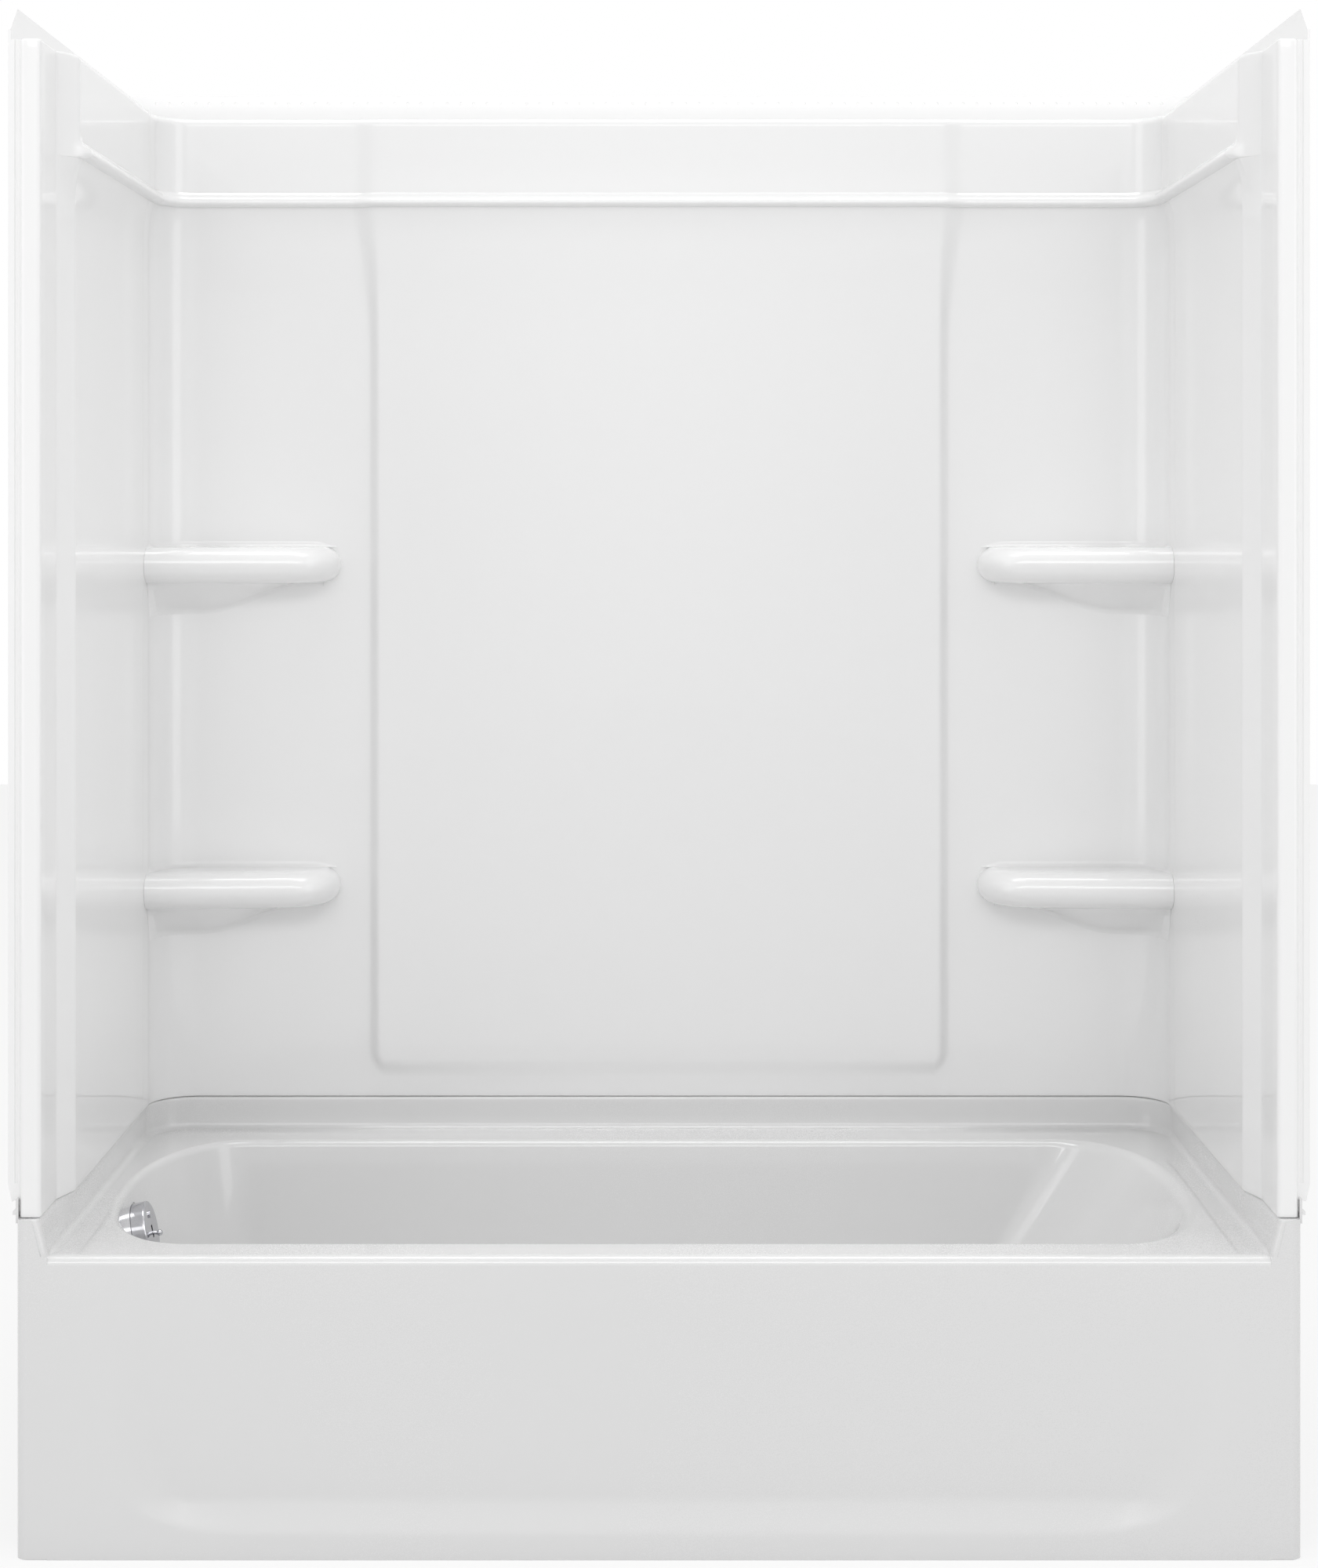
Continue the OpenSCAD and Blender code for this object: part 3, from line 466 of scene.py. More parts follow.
class FinishSettings(bpy.types.PropertyGroup):
    """Colours of the finishes"""

    tub: bpy.props.FloatVectorProperty(
        name="Tub", description="Colour of the tub", subtype="COLOR", default=(0.77, 0.77, 0.77),
    )
    wall: bpy.props.FloatVectorProperty(
        name="Walls", description="Colour of the walls", subtype="COLOR", default=(0.93, 0.93, 0.93),
    )
    floor: bpy.props.FloatVectorProperty(
        name="Floor", description="Colour of the floor", subtype="COLOR", default=(0.86, 0.86, 0.86),
    )


def in_millimetres(group):
    """The group's lengths in millimetres and its angles in degrees."""
    sizes = SimpleNamespace()
    for prop in group.bl_rna.properties:
        if prop.type == "FLOAT":
            value = getattr(group, prop.identifier)
            setattr(sizes, prop.identifier, value * 1000 if prop.unit == "LENGTH" else math.degrees(value))
    return sizes


FINISHES = {}


def finish(name):
    """The material of a slot, made once."""
    s = bpy.context.scene.tub_finishes
    makers = {
        "tub_white": lambda: gloss_white("tub_white", tuple(s.tub), 0.27),
        "wall_white": lambda: gloss_white("wall_white", tuple(s.wall), 0.29),
        "chrome": lambda: polished_chrome("chrome_plate"),
        "brass": lambda: drawn_metal("plain_brass", (0.55, 0.4, 0.16), (0.8, 0.62, 0.3), 0.22),
        "spring_steel": lambda: drawn_metal("spring_steel", (0.5, 0.51, 0.53), (0.68, 0.69, 0.71), 0.2),
        "rubber": lambda: black_fitting("black_rubber", (0.022, 0.022, 0.022), 0.62, 700.0),
        "seal": lambda: black_fitting("foam_seal", (0.16, 0.16, 0.16), 0.8, 1400.0),
        "pipe_plastic": lambda: black_fitting("pipe_plastic", (0.018, 0.018, 0.02), 0.34, 420.0),
        "board": lambda: raw_board("raw_board"),
    }
    if name not in FINISHES:
        FINISHES[name] = makers[name]()
    return FINISHES[name]


# Bathtub
def wall_line(t, draft, edge, out=0.0):
    """Side view of a basin wall: distance in from the basin's edge, and height."""
    rim_steps, slope_steps, floor_steps = 10, 8, 12
    lean, foot_radius = math.radians(draft), t.floor_radius
    upright = math.pi / 2 - lean
    floor = t.deck - t.basin
    top = t.deck - edge * (1 - math.sin(lean))
    low = floor + foot_radius * (1 - math.sin(lean))
    foot = edge * math.cos(lean) + (top - low) * math.tan(lean) + foot_radius * math.cos(lean)
    rim = []
    for k in range(rim_steps + 1):
        q = upright * k / rim_steps
        rim.append(((edge - out) * math.sin(q), t.deck - edge + (edge - out) * math.cos(q)))
    bend, reach = [], foot_radius + out
    for k in range(floor_steps + 1):
        q = lean + upright * k / floor_steps
        bend.append((foot - reach * math.cos(q), floor + foot_radius - reach * math.sin(q)))
    (x0, z0), (x1, z1) = rim[-1], bend[0]
    steps = range(1, slope_steps)
    straight = [(x0 + (x1 - x0) * k / slope_steps, z0 + (z1 - z0) * k / slope_steps) for k in steps]
    return rim + straight + bend


def basin_ring(t, left, right, side, shrink=1.0):
    """One ring of the basin through points of the three side views, drawn in by shrink."""
    round_steps, straight_steps = 56, 30
    front, back = t.rim_width, DEPTH - t.rear_rim
    mid, half = (front + back) / 2, (back - front) / 2 - side[0]
    a = max(t.end_round - side[0], 8.0)
    x_left, x_right = -SIDE + t.drain_rim + left[0], SIDE - t.rest_rim - right[0]

    def bulge(s):
        return math.copysign(abs(s) ** 0.9, s)

    def half_round(angle, end_x, sign, end_z):
        points = []
        for k in range(round_steps + 1):
            q = math.radians(angle + 180 * k / round_steps)
            x = end_x + sign * a * (abs(bulge(math.cos(q))) - 1)
            z = side[1] + math.cos(q) ** 2 * (end_z - side[1])
            points.append((x, mid + half * bulge(math.sin(q)), z))
        return points

    def run(x0, x1, v):
        steps = range(1, straight_steps)
        return [(x0 + (x1 - x0) * k / straight_steps, v, side[1]) for k in steps]

    ring = half_round(-90, x_right, 1, right[1]) + run(x_right - a, x_left + a, mid + half)
    ring += half_round(90, x_left, -1, left[1]) + run(x_left + a, x_right - a, mid - half)
    middle = (x_left + x_right) / 2
    return [(middle + (x - middle) * shrink, mid + (v - mid) * shrink, z) for x, v, z in ring]


def deck_edge(ring, half, front, back, z):
    """The ring's points moved straight out from the middle to the deck's rectangle."""
    mid = (front + back) / 2
    out = []
    for x, v, _ in ring:
        dx, dv = x, v - mid
        k = min(half / abs(dx) if dx else 1e9, (back - mid) / abs(dv) if dv else 1e9)
        out.append([dx * k, mid + dv * k, z])
    for cx, cv in ((half, front), (half, back), (-half, front), (-half, back)):
        near = min(range(len(out)), key=lambda i: (out[i][0] - cx) ** 2 + (out[i][1] - cv) ** 2)
        out[near] = [cx, cv, z]
    return [tuple(p) for p in out]


def basin_skin(t):
    """Deck and basin, from the middle of its floor up and round to its underside."""
    half, front, back = 724.0, t.roll, 698.0
    views = ((t.drain_draft, t.rim_radius), (t.rest_draft, t.rest_radius), (t.side_draft, t.rim_radius))
    inner = [wall_line(t, draft, radius) for draft, radius in views]
    outer = [wall_line(t, draft, radius, t.thick) for draft, radius in views]
    inside = [basin_ring(t, *points) for points in zip(*inner)]
    outside = [basin_ring(t, *points) for points in zip(*outer)]
    edge = deck_edge(inside[0], half, front, back, t.deck)
    under = [(x, v, t.deck - t.thick) for x, v, _ in edge]
    mid_ring = [tuple((a + b) / 2 for a, b in zip(p, q)) for p, q in zip(edge, inside[0])]
    rings = [basin_ring(t, *(line[-1] for line in inner), shrink=k) for k in (0.25, 0.5, 0.75)]
    rings += inside[::-1] + [mid_ring, edge, under] + outside
    rings += [basin_ring(t, *(line[-1] for line in outer), shrink=k) for k in (0.75, 0.5, 0.25)]
    shell = Shell()
    shell.tube(rings)
    return shell.mesh("deck_and_basin")


def circle(radius, place, z, sides):
    """A ring of points about a line, set by place(x, y, z)."""
    turns = [2 * math.pi * k / sides for k in range(sides)]
    return [place(radius * math.cos(q), radius * math.sin(q), z) for q in turns]


def cylinder_mesh(name, place, radius, low, high):
    """A round tool for a cut, between two heights of place(x, y, z)."""
    shell = Shell()
    shell.tube([circle(radius, place, z, 64) for z in (low, high)])
    return shell.mesh(name)


def on_overflow(x, y, z):
    """A point given square to the drain end of the basin, as x, v and height."""
    lean = math.radians(12)
    centre_x, centre_z = -672.361, 296.0
    along = centre_x + x * math.sin(lean) + z * math.cos(lean)
    return (along, WASTE_V + y, centre_z - x * math.cos(lean) + z * math.sin(lean))


def overflow_pad():
    """The flat round pad that the basin's end has about the overflow plate."""
    profile = ((41.0, -5.0), (41.0, 0.5), (48.0, 0.5), (49.2, 0.2), (49.8, -0.6), (50.5, -6.0))
    shell = Shell()
    shell.tube([circle(r, on_overflow, z, 72) for r, z in profile], closed=True)
    return shell


def ear_edge(t, v):
    """Half width of the apron's post, which is rounded at the front."""
    gap = max(0.0, t.roll - v)
    return APRON_X - t.roll + math.sqrt(t.roll ** 2 - gap ** 2)


def flange_edge(t, p, along):
    """The outer edge of the seat's top beside a point; along runs from 0 to 1 round the corner."""
    corner_x, corner_v, post_end = 654.0, 630.0, 54.0
    if p.y < post_end:
        return Vector((ear_edge(t, p.y), p.y))
    if p.y < corner_v - 1e-6:
        return Vector((SIDE, p.y))
    if p.x <= 1:
        return Vector((0, DEPTH))
    if along <= 0.5:
        return Vector((SIDE, corner_v + (DEPTH - corner_v) * 2 * along))
    return Vector((SIDE - (SIDE - corner_x) * (2 * along - 1), DEPTH))


def seat_outlines(t):
    """Points at the deck, at the seat and at the flange, from one end round to the other."""
    front, deck_x, front_round, steps, post_end = 0.1, 715.5, 8.0, 14, 60
    corners = ((716.5, 100, 14), (716, 142, 14), (716, 692, 62), (0, 692, 0))
    deck = rounded([(deck_x, front, 0), *corners], steps)
    corners = ((SEAT_X, 98, 14), (714.5, 142, 14), (714.5, 694, 62), (0, 694, 0))
    seat = rounded([(SEAT_X, front, 0), *corners], steps)
    corner_first = len(deck) - 2 - steps
    outer = [flange_edge(t, p, (i - corner_first) / steps) for i, p in enumerate(deck)]
    pts = list(zip(deck, seat, outer))
    # more points at the front, where the post is rounded, and where the flange steps out behind it
    extra = []
    for v in (0.4, 1.0, 2.0, 3.2, 4.8, 6.4, 8.0, 12.0, 16.0, 26.0, 40.0, 54.0, 80.0):
        edge = ear_edge(t, v) if v < post_end else SIDE
        extra.append((Vector((deck_x + v * 0.01, v)), Vector((SEAT_X, v)), Vector((edge, v))))

    def turned(p):
        gap = max(0.0, front_round - p.y)
        return Vector((p.x + front_round - math.sqrt(front_round ** 2 - gap ** 2), p.y))

    half = [(turned(p), turned(s), q) for p, s, q in [pts[0]] + extra + pts[1:]]
    full = half + [tuple(Vector((-q.x, q.y)) for q in p) for p in reversed(half[:-1])]
    return zip(*full)


def tub_ring(t):
    """The raised seat round three sides, with its cove at the deck and the tub's own flange."""
    cove_radius, seat_edge, lip, post_foot = 9.0, 2.5, 6.0, 332.0
    deck, seat, outer = seat_outlines(t)
    rings = []
    for p, s, q, n in zip(deck, seat, outer, inward(deck)):
        cove = cove_radius * ease((p.y - 6.0) / 22.0)
        low = post_foot if p.y < 14 else t.deck - t.thick + 1
        out = unit(q - s)
        ring = []
        for k in range(9):
            a = math.pi / 2 * k / 8
            o = cove * (1 - math.sin(a))
            ring.append((p.x + n.x * o, p.y + n.y * o, t.deck + cove * (1 - math.cos(a))))
        for f in (0.15, 0.35, 0.55, 0.75, 0.9):
            z = t.deck + cove + (SEAT - seat_edge - t.deck - cove) * f
            m = p.lerp(s, (z - t.deck) / (SEAT - t.deck))
            ring.append((m.x, m.y, z))
        for k in range(5):
            a = math.pi / 2 * k / 4
            back = seat_edge * (1 - math.cos(a))
            ring.append((s.x + out.x * back, s.y + out.y * back, SEAT - seat_edge * (1 - math.sin(a))))
        ring += [(q.x, q.y, SEAT), (q.x, q.y, SEAT - lip)]
        ring.append((s.x + out.x * (lip + 1), s.y + out.y * (lip + 1), SEAT - lip))
        ring.append((p.x - n.x * lip, p.y - n.y * lip, low))
        ring.append((p.x + n.x * cove, p.y + n.y * cove, low))
        rings.append(ring)
    shell = Shell()
    shell.tube(rings)
    flange = [Vector(p) for p in ((APRON_X + 2, 10), (APRON_X + 2, 54), (SIDE, 80), (SIDE, DEPTH))]
    path = flange + mirrored(flange)
    profile = ((0, -lip), (0, 22.5), (1.5, 24), (3, 22.5), (3, -lip))
    rings = []
    for p, n in zip(path, inward(path)):
        rings.append([(p.x + n.x * o, p.y + n.y * o, SEAT + z) for o, z in profile])
    shell.tube(rings)
    return shell


def relief_depth(t, x, z):
    """How far the apron's face is set back at a point."""
    foot, deepest, top, side_run = 27.0, 70.0, 312.0, 60.0
    half_width, narrowing, fade = 667.0, 80.0, 65.0
    if not foot < z < top:
        return 0.0
    narrower = narrowing * math.exp((foot - z) / fade)
    slant = math.hypot(1, narrower / fade)
    inside = min(1.0, (half_width - narrower - abs(x)) / (side_run * slant))
    if z >= deepest:
        return t.relief * even_ramp(inside) * ((top - z) / (top - deepest)) ** 1.3
    rise = (z - foot) / (deepest - foot)
    return t.relief * even_ramp(1 - math.hypot(1 - rise, 1 - inside))


def apron_post(t, side, sheet_x):
    """The end of the apron, which runs on up past the deck and is flush with the sheet."""
    seat_round, turn, tail, deck_x, cove_x = 2.5, 8.0, 45, 715.5, 720.6
    levels = [(0.0, sheet_x, 1.2), (1.2, sheet_x, 0.0)]
    levels += [(z, sheet_x, 0.0) for z in (60.0, 200.0, 330.0, 345.0, t.deck - 1)]
    levels += [(t.deck, deck_x + turn, 0.0), (t.deck + 19, cove_x + turn, 0.0)]
    for k in range(6):
        a = math.pi / 2 * k / 5
        x = SEAT_X + turn - 1.0 + (seat_round + 1.0) * (1 - math.cos(a))
        levels.append((SEAT - 0.02 - seat_round * (1 - math.sin(a)), x, 0.4 * (k / 5) ** 4))
    inner_x, inner_v = APRON_X - t.thick, t.thick
    rings = []
    for z, x_in, back in levels:
        edge = APRON_X - back
        outline = rounded([(edge, tail, 0), (edge, back, t.roll), (x_in, back, 0)], 10)
        inner = [(inner_x, tail, 0), (inner_x, inner_v, t.roll - t.thick), (x_in, inner_v, 0)]
        outline += rounded(inner, 10)[::-1]
        rings.append([(side * p.x, p.y, z) for p in outline])
    return rings


def apron_skin(t):
    """The front sheet with its relief and rolled top, and the post at each end."""
    r, thick, sheet_x = t.roll, t.thick, 716.0
    xs = []
    x = -sheet_x
    while x < sheet_x - 0.1:
        xs.append(x)
        x += 26.0 if abs(x + 13) < 540 else 4.0
    xs.append(sheet_x)
    zs = [0.0, 4.0, 14.0, 22.0, 26.0]
    zs += [27 + 2.2 * k for k in range(22)]
    zs += [80 + 10.0 * k for k in range(24)]
    zs += [318.0, 330.0]
    rings = []
    for x in xs:
        depths = [relief_depth(t, x, z) for z in zs]
        front = [(x, d, z) for d, z in zip(depths, zs)]
        back = [(x, d + thick, z) for d, z in zip(depths, zs)]
        for k in range(13):
            a = math.pi / 2 * k / 12
            front.append((x, r * (1 - math.cos(a)), t.deck - r * (1 - math.sin(a))))
            back.append((x, r - (r - thick) * math.cos(a), t.deck - r + (r - thick) * math.sin(a)))
        rings.append(front + back[::-1])
    shell = Shell()
    shell.tube(rings)
    for side in (-1, 1):
        shell.tube(apron_post(t, side, sheet_x))
    return shell


class TUB_OT_bathtub(bpy.types.Operator):
    """Bathtub moulding: deck, basin, seat, apron"""

    bl_idname = "tub.bathtub"
    bl_label = "Bathtub"

    def execute(self, context):
        t = in_millimetres(context.scene.tub_sizes)

        def on_drain(x, y, z):
            return (DRAIN_X + x, WASTE_V + y, t.deck - t.basin + z)

        tools = [
            cylinder_mesh("plate_seat", on_overflow, 40.0, 0.0, 12.0),
            cylinder_mesh("overflow_hole", on_overflow, 28.5, -20.0, 12.0),
            cylinder_mesh("flange_seat", on_drain, 38.0, -2.0, 8.0),
            cylinder_mesh("drain_hole", on_drain, 26.0, -12.0, 8.0),
        ]
        body = clean(cut(basin_skin(t), tools, "deck_cut"))
        seat, apron, pad = tub_ring(t), apron_skin(t), overflow_pad()
        meshes = (body, seat.mesh("tub_seat"), apron.mesh("tub_apron"), pad.mesh("pad"))
        joined = join_meshes(meshes, "bathtub_moulding")
        add_piece("bathtub_moulding", joined, "tub_white", "bathtub")
        return {"FINISHED"}


# Walls
def ledge_out(w, z):
    """How far the ledge and band stand in front of the panel at a height."""
    cove_low, cove_end, cove_out = w.nose - 58, w.nose - 4, 8.0
    lip_end, crown_end, fall_end, crown_drop = w.nose + 2, w.nose + 6, w.nose + 17, 0.9
    if z <= cove_low:
        return 0.0
    if z < cove_end:
        return cove_out * ((z - cove_low) / (cove_end - cove_low)) ** 2.6
    if z < lip_end:
        t = (z - cove_end) / (lip_end - cove_end)
        return cove_out + (w.nose_out - cove_out) * math.sqrt(max(0.0, 1 - (1 - t) ** 2))
    if z < crown_end:
        return w.nose_out - crown_drop * ((z - lip_end) / (crown_end - lip_end)) ** 2
    if z < fall_end:
        crown = w.nose_out - crown_drop
        return crown - (crown - w.band_out) * ease((z - crown_end) / (fall_end - crown_end))
    return w.band_out


def wall_heights(w, low):
    """The heights of a wall sheet's points, close where its form changes."""
    zs = [low, low + 0.5, low + 1.5, low + 8.0]
    zs += [w.centre_foot - 3 + 2.0 * k for k in range(20)]
    z = zs[-1] + 40
    while z < w.nose - 70:
        zs.append(z)
        z += 48
    zs += [w.nose - 60 + 4.0 * k for k in range(14)]
    zs += [w.nose + k for k in (-4, -3.6, -3, -2, -1, 0, 1, 2, 4, 6, 8, 10, 12, 14, 17, 24, 50, 80)]
    zs.append(w.shell_top - 11)
    return sorted(set(round(z, 3) for z in zs))


def foot_round(z, low):
    """How far the rounded foot of a wall sheet draws in."""
    back, reach = 0.7, 1.5
    left = max(0.0, 1 - (z - low) / reach)
    return -back * left ** 2


def wall_skin(shell, path, w, low, out, edge, aim=None):
    """A moulded sheet along a plan outline; returns the outline of its rolled top edge.

    out(index, height) is its relief, edge(index) the radius of its top edge, and aim the
    direction of its relief at each point, where that isn't square to the outline.
    """
    aim = aim or inward(path)
    zs = wall_heights(w, low)
    least, roll_steps = 0.3, 8
    rings, rim = [], []
    for i, (p, n) in enumerate(zip(path, aim)):
        r = edge(i)
        inner = max(r - w.thick, 0.5)

        def at(o, z):
            return (p.x + n.x * o, p.y + n.y * o, z)

        front, back = [], []
        for z in zs:
            o = out(i, z) + foot_round(z, low)
            front.append(at(o, z))
            back.append(at(o - w.thick, z))
        o = out(i, zs[-1])
        for k in range(roll_steps + 1):
            a = math.pi / 2 * k / roll_steps
            front_o, front_z = o - r * (1 - math.cos(a)), w.shell_top - r * (1 - math.sin(a))
            back_o, back_z = o - r + inner * math.cos(a), w.shell_top - r + inner * math.sin(a)
            front.append(at(front_o, front_z))
            back.append(at(min(back_o, front_o - least), min(back_z, front_z - least) if k else back_z))
        rim.append(at(o - r + 1, 0.0)[:2])
        rings.append(front + back[::-1])
    shell.tube(rings)
    return rim


def finer(points, step):
    """The outline with more points, each step(v) past the one before it."""
    out = []
    for a, b in zip(points, points[1:]):
        length = (b - a).length
        done = 0.0
        while done < length - 0.3:
            out.append(a.lerp(b, done / length))
            done += step(out[-1].y)
    return out + [points[-1]]


def joint_lip(shell, w, side, low, near, far):
    """The flange behind a sheet's edge at the upright joint, which follows the ledge."""
    inset, reach = 3.0, 32.0
    rings = []
    for z in [low + 0.5] + wall_heights(w, low)[3:] + [w.shell_top - 1]:
        x0, x1 = side * (w.face - ledge_out(w, z) + inset), side * (w.face + reach)
        rings.append([(x0, near, z), (x1, near, z), (x1, far, z), (x0, far, z)])
    shell.tube(rings)


def end_flange(shell, w, low, top):
    """The side flange with its cut corners, and the web from it to the column with its shallow groove."""
    ear_low = low + 17.0
    flange = [
        (16.4, ear_low + 22), (42, ear_low), (54, ear_low), (54, top - 4),
        (w.seam - 1, top - 4), (w.seam - 1, TOP), (52, TOP), (16.4, TOP - 30),
    ]
    shell.tube([[(x, v, z) for v, z in flange] for x in (SIDE - 3.0, SIDE)])
    web_x, web_in, near, far = SIDE - 0.2, 746.5, 16, 20
    web = [
        (web_x, near), (757.4, near), (756.6, near + 1), (754.4, near + 1),
        (753.6, near), (web_in, near), (web_in, far), (web_x, far),
    ]
    shell.plate(web, ear_low + 21, top - 1)
    web_foot = [
        (web_x, ear_low + 22), (760.5, ear_low + 1), (753, ear_low + 4),
        (web_in, ear_low + 4), (web_in, ear_low + 23), (web_x, ear_low + 23),
    ]
    shell.tube([[(x, v, z) for x, z in web_foot] for v in (near + 0.1, far - 0.1)])


def end_wall(w):
    """The right end wall; the left one is its mirror image."""
    low, top = SEAT + SEAM_GAP, w.shell_top
    column_in, column_out, column_front = 725.5, 750.5, 10.0
    ramp_start, ramp_end, nose_start = 98.0, 144.0, 112.0
    path = finer(rounded([
        (column_out, 20, 0),
        (column_out, column_front, 6),
        (column_in, column_front, 6),
        (column_in, ramp_start, 26),
        (w.face, ramp_end, 26),
        (w.face, w.seam - 0.3, 0),
    ], 8), lambda v: 3.0 if 90 < v < 165 else 28.0)

    def out(i, z):
        p = path[i]
        if p.x > column_in + 0.1 or p.y < 40:
            return 0.0
        proud = ledge_out(w, z)
        band = max(0.0, p.x - max(w.face - w.band_out, column_in - 0.8 * (p.y - ramp_start)))
        nose = (w.nose_out - w.band_out) * smoother((p.y - nose_start) / (ramp_end - nose_start))
        share = min(proud, w.band_out) / w.band_out
        rest = max(0.0, proud - w.band_out) / (w.nose_out - w.band_out)
        return share * band + rest * nose

    def edge(i):
        return 4.0 + 6.0 * smoother((path[i].y - ramp_start) / (ramp_end - ramp_start))

    aim = [Vector((-1.0, 0.0)) if p.y > 40 else n for p, n in zip(path, inward(path))]
    shell = Shell()
    rim = wall_skin(shell, path, w, low, out, edge, aim)
    shell.plate(rim + [(SIDE - 0.2, w.seam - 0.6), (SIDE - 0.2, 17.0)], top - 4.0, top - 0.06)
    foot = [(p.x + 2.0, p.y + (2.0 if p.y < 20 else 0.0)) for p in path if p.x < 748]
    foot += [(WALL_FOOT_X, w.seam - 1.2), (WALL_FOOT_X, 22.0), (747.0, 22.0)]
    shell.plate(foot, low + 0.1, low + 4.0)
    end_flange(shell, w, SEAT, top)
    joint_lip(shell, w, 1, low, w.seam - 5.0, w.seam - 0.2)
    return shell


class TUB_OT_end_walls(bpy.types.Operator):
    """Left and right end walls with their columns and ledges"""

    bl_idname = "tub.end_walls"
    bl_label = "End walls"

    def execute(self, context):
        w = in_millimetres(context.scene.wall_sizes)
        for name, side in (("right_end_wall", 1), ("left_end_wall", -1)):
            shell = end_wall(w)
            shell.verts = [(side * x, v, z) for x, v, z in shell.verts]
            moulding = f"{name}_moulding"
            add_piece(moulding, shell.mesh(moulding), "wall_white", name)
        return {"FINISHED"}


def centre_depth(w, x, z):
    """How far the raised centre stands out at a point of the rear wall."""
    ax = abs(x)
    corner, foot_ramp, widening = 12.0, 28.0, 170.0
    ramp = 17.0 + 25.0 * ease((z - (w.nose - widening)) / widening)
    a = max(0.0, ax - (w.centre_half - corner)) / (corner + ramp)
    b = max(0.0, w.centre_foot + foot_ramp + corner - z) / (corner + foot_ramp)
    rho = math.hypot(a, b)
    flat = 0.0
    if rho:
        flat = (corner / (corner + ramp) * a * a + corner / (corner + foot_ramp) * b * b) / (a * a + b * b)
    bow = 1.0 - 0.8 * (1 - min(1, ax / w.centre_half) ** 2) * smoother((1300 - z) / 850.0)
    on_band = 1.0 - 0.6 * smoother((z - w.nose) / 20.0)
    return w.centre_out * smoother((1 - rho) / (1 - flat)) * bow * on_band


def rear_path(w):
    """The rear sheet's outline in plan, with points close together at the centre panel's ramps."""
    stops = []
    for s in (-1, 1):
        stops += [s * (w.centre_half - 6 + 3.2 * k) for k in range(24)]
        stops += [s * (w.centre_half + 71 + 20 * k) for k in range(9)]
    stops += [-360 + 40.0 * k for k in range(19)]
    half = rounded([(w.face, w.seam + 0.4, 0), (w.face, w.rear, w.corner), (0, w.rear, 0)], 20)
    full = half[:-1] + mirrored(half[:-1])
    return with_stops(full, sorted(set(stops)))


class TUB_OT_rear_wall(bpy.types.Operator):
    """Rear wall with its centre panel, ledge, shelves and nailing flange"""

    bl_idname = "tub.rear_wall"
    bl_label = "Rear wall"

    def execute(self, context):
        w = in_millimetres(context.scene.wall_sizes)
        low, top = SEAT + SEAM_GAP, w.shell_top
        path = rear_path(w)

        def out(i, z):
            p = path[i]
            flat = abs(p.y - w.rear) < 1e-3
            return ledge_out(w, z) + (centre_depth(w, p.x, z) if flat else 0.0)

        shell = Shell()
        rim = wall_skin(shell, path, w, low, out, lambda i: 10.0)
        half, near, far = SIDE - 0.2, w.seam + 0.6, DEPTH - 0.2
        shell.plate(rim + [(-half, near), (-half, far), (half, far), (half, near)], top - 4.0, top - 0.06)
        foot = [(p.x + math.copysign(6.0, p.x) * (p.y < w.rear - 1), p.y + 2.0) for p in path]
        half, near, far = WALL_FOOT_X, w.seam + 0.8, DEPTH - 4
        shell.plate(foot + [(-half, near), (-half, far), (half, far), (half, near)], low + 0.1, low + 4.0)
        for s in (-1, 1):
            joint_lip(shell, w, s, low, w.seam + 0.2, w.seam + 5.0)
            f0, f1 = s * (SIDE - 3.0), s * SIDE
            shell.box((min(f0, f1), w.seam + 1.0, top - 4), (max(f0, f1), DEPTH - 3.0, TOP))
        strip = Shell()
        strip.box((-SIDE, DEPTH - 3.0, top - 4), (SIDE, DEPTH, TOP))
        flange = clean(cut(strip.mesh("top_flange"), [nail_holes(TOP - 10.0)], "flange_cut"))
        shelves = Shell()
        for z in (w.low_shelf, w.high_shelf):
            for s in (-1, 1):
                shelf_skin(shelves, w, z, s)
                shelf_cove(shelves, w, z, s)
        meshes = (shell.mesh("rear_wall_sheet"), flange, shelves.mesh("corner_shelves", 19.5))
        joined = join_meshes(meshes, "rear_wall_moulding")
        add_piece("rear_wall_moulding", joined, "wall_white", "back_wall")
        return {"FINISHED"}


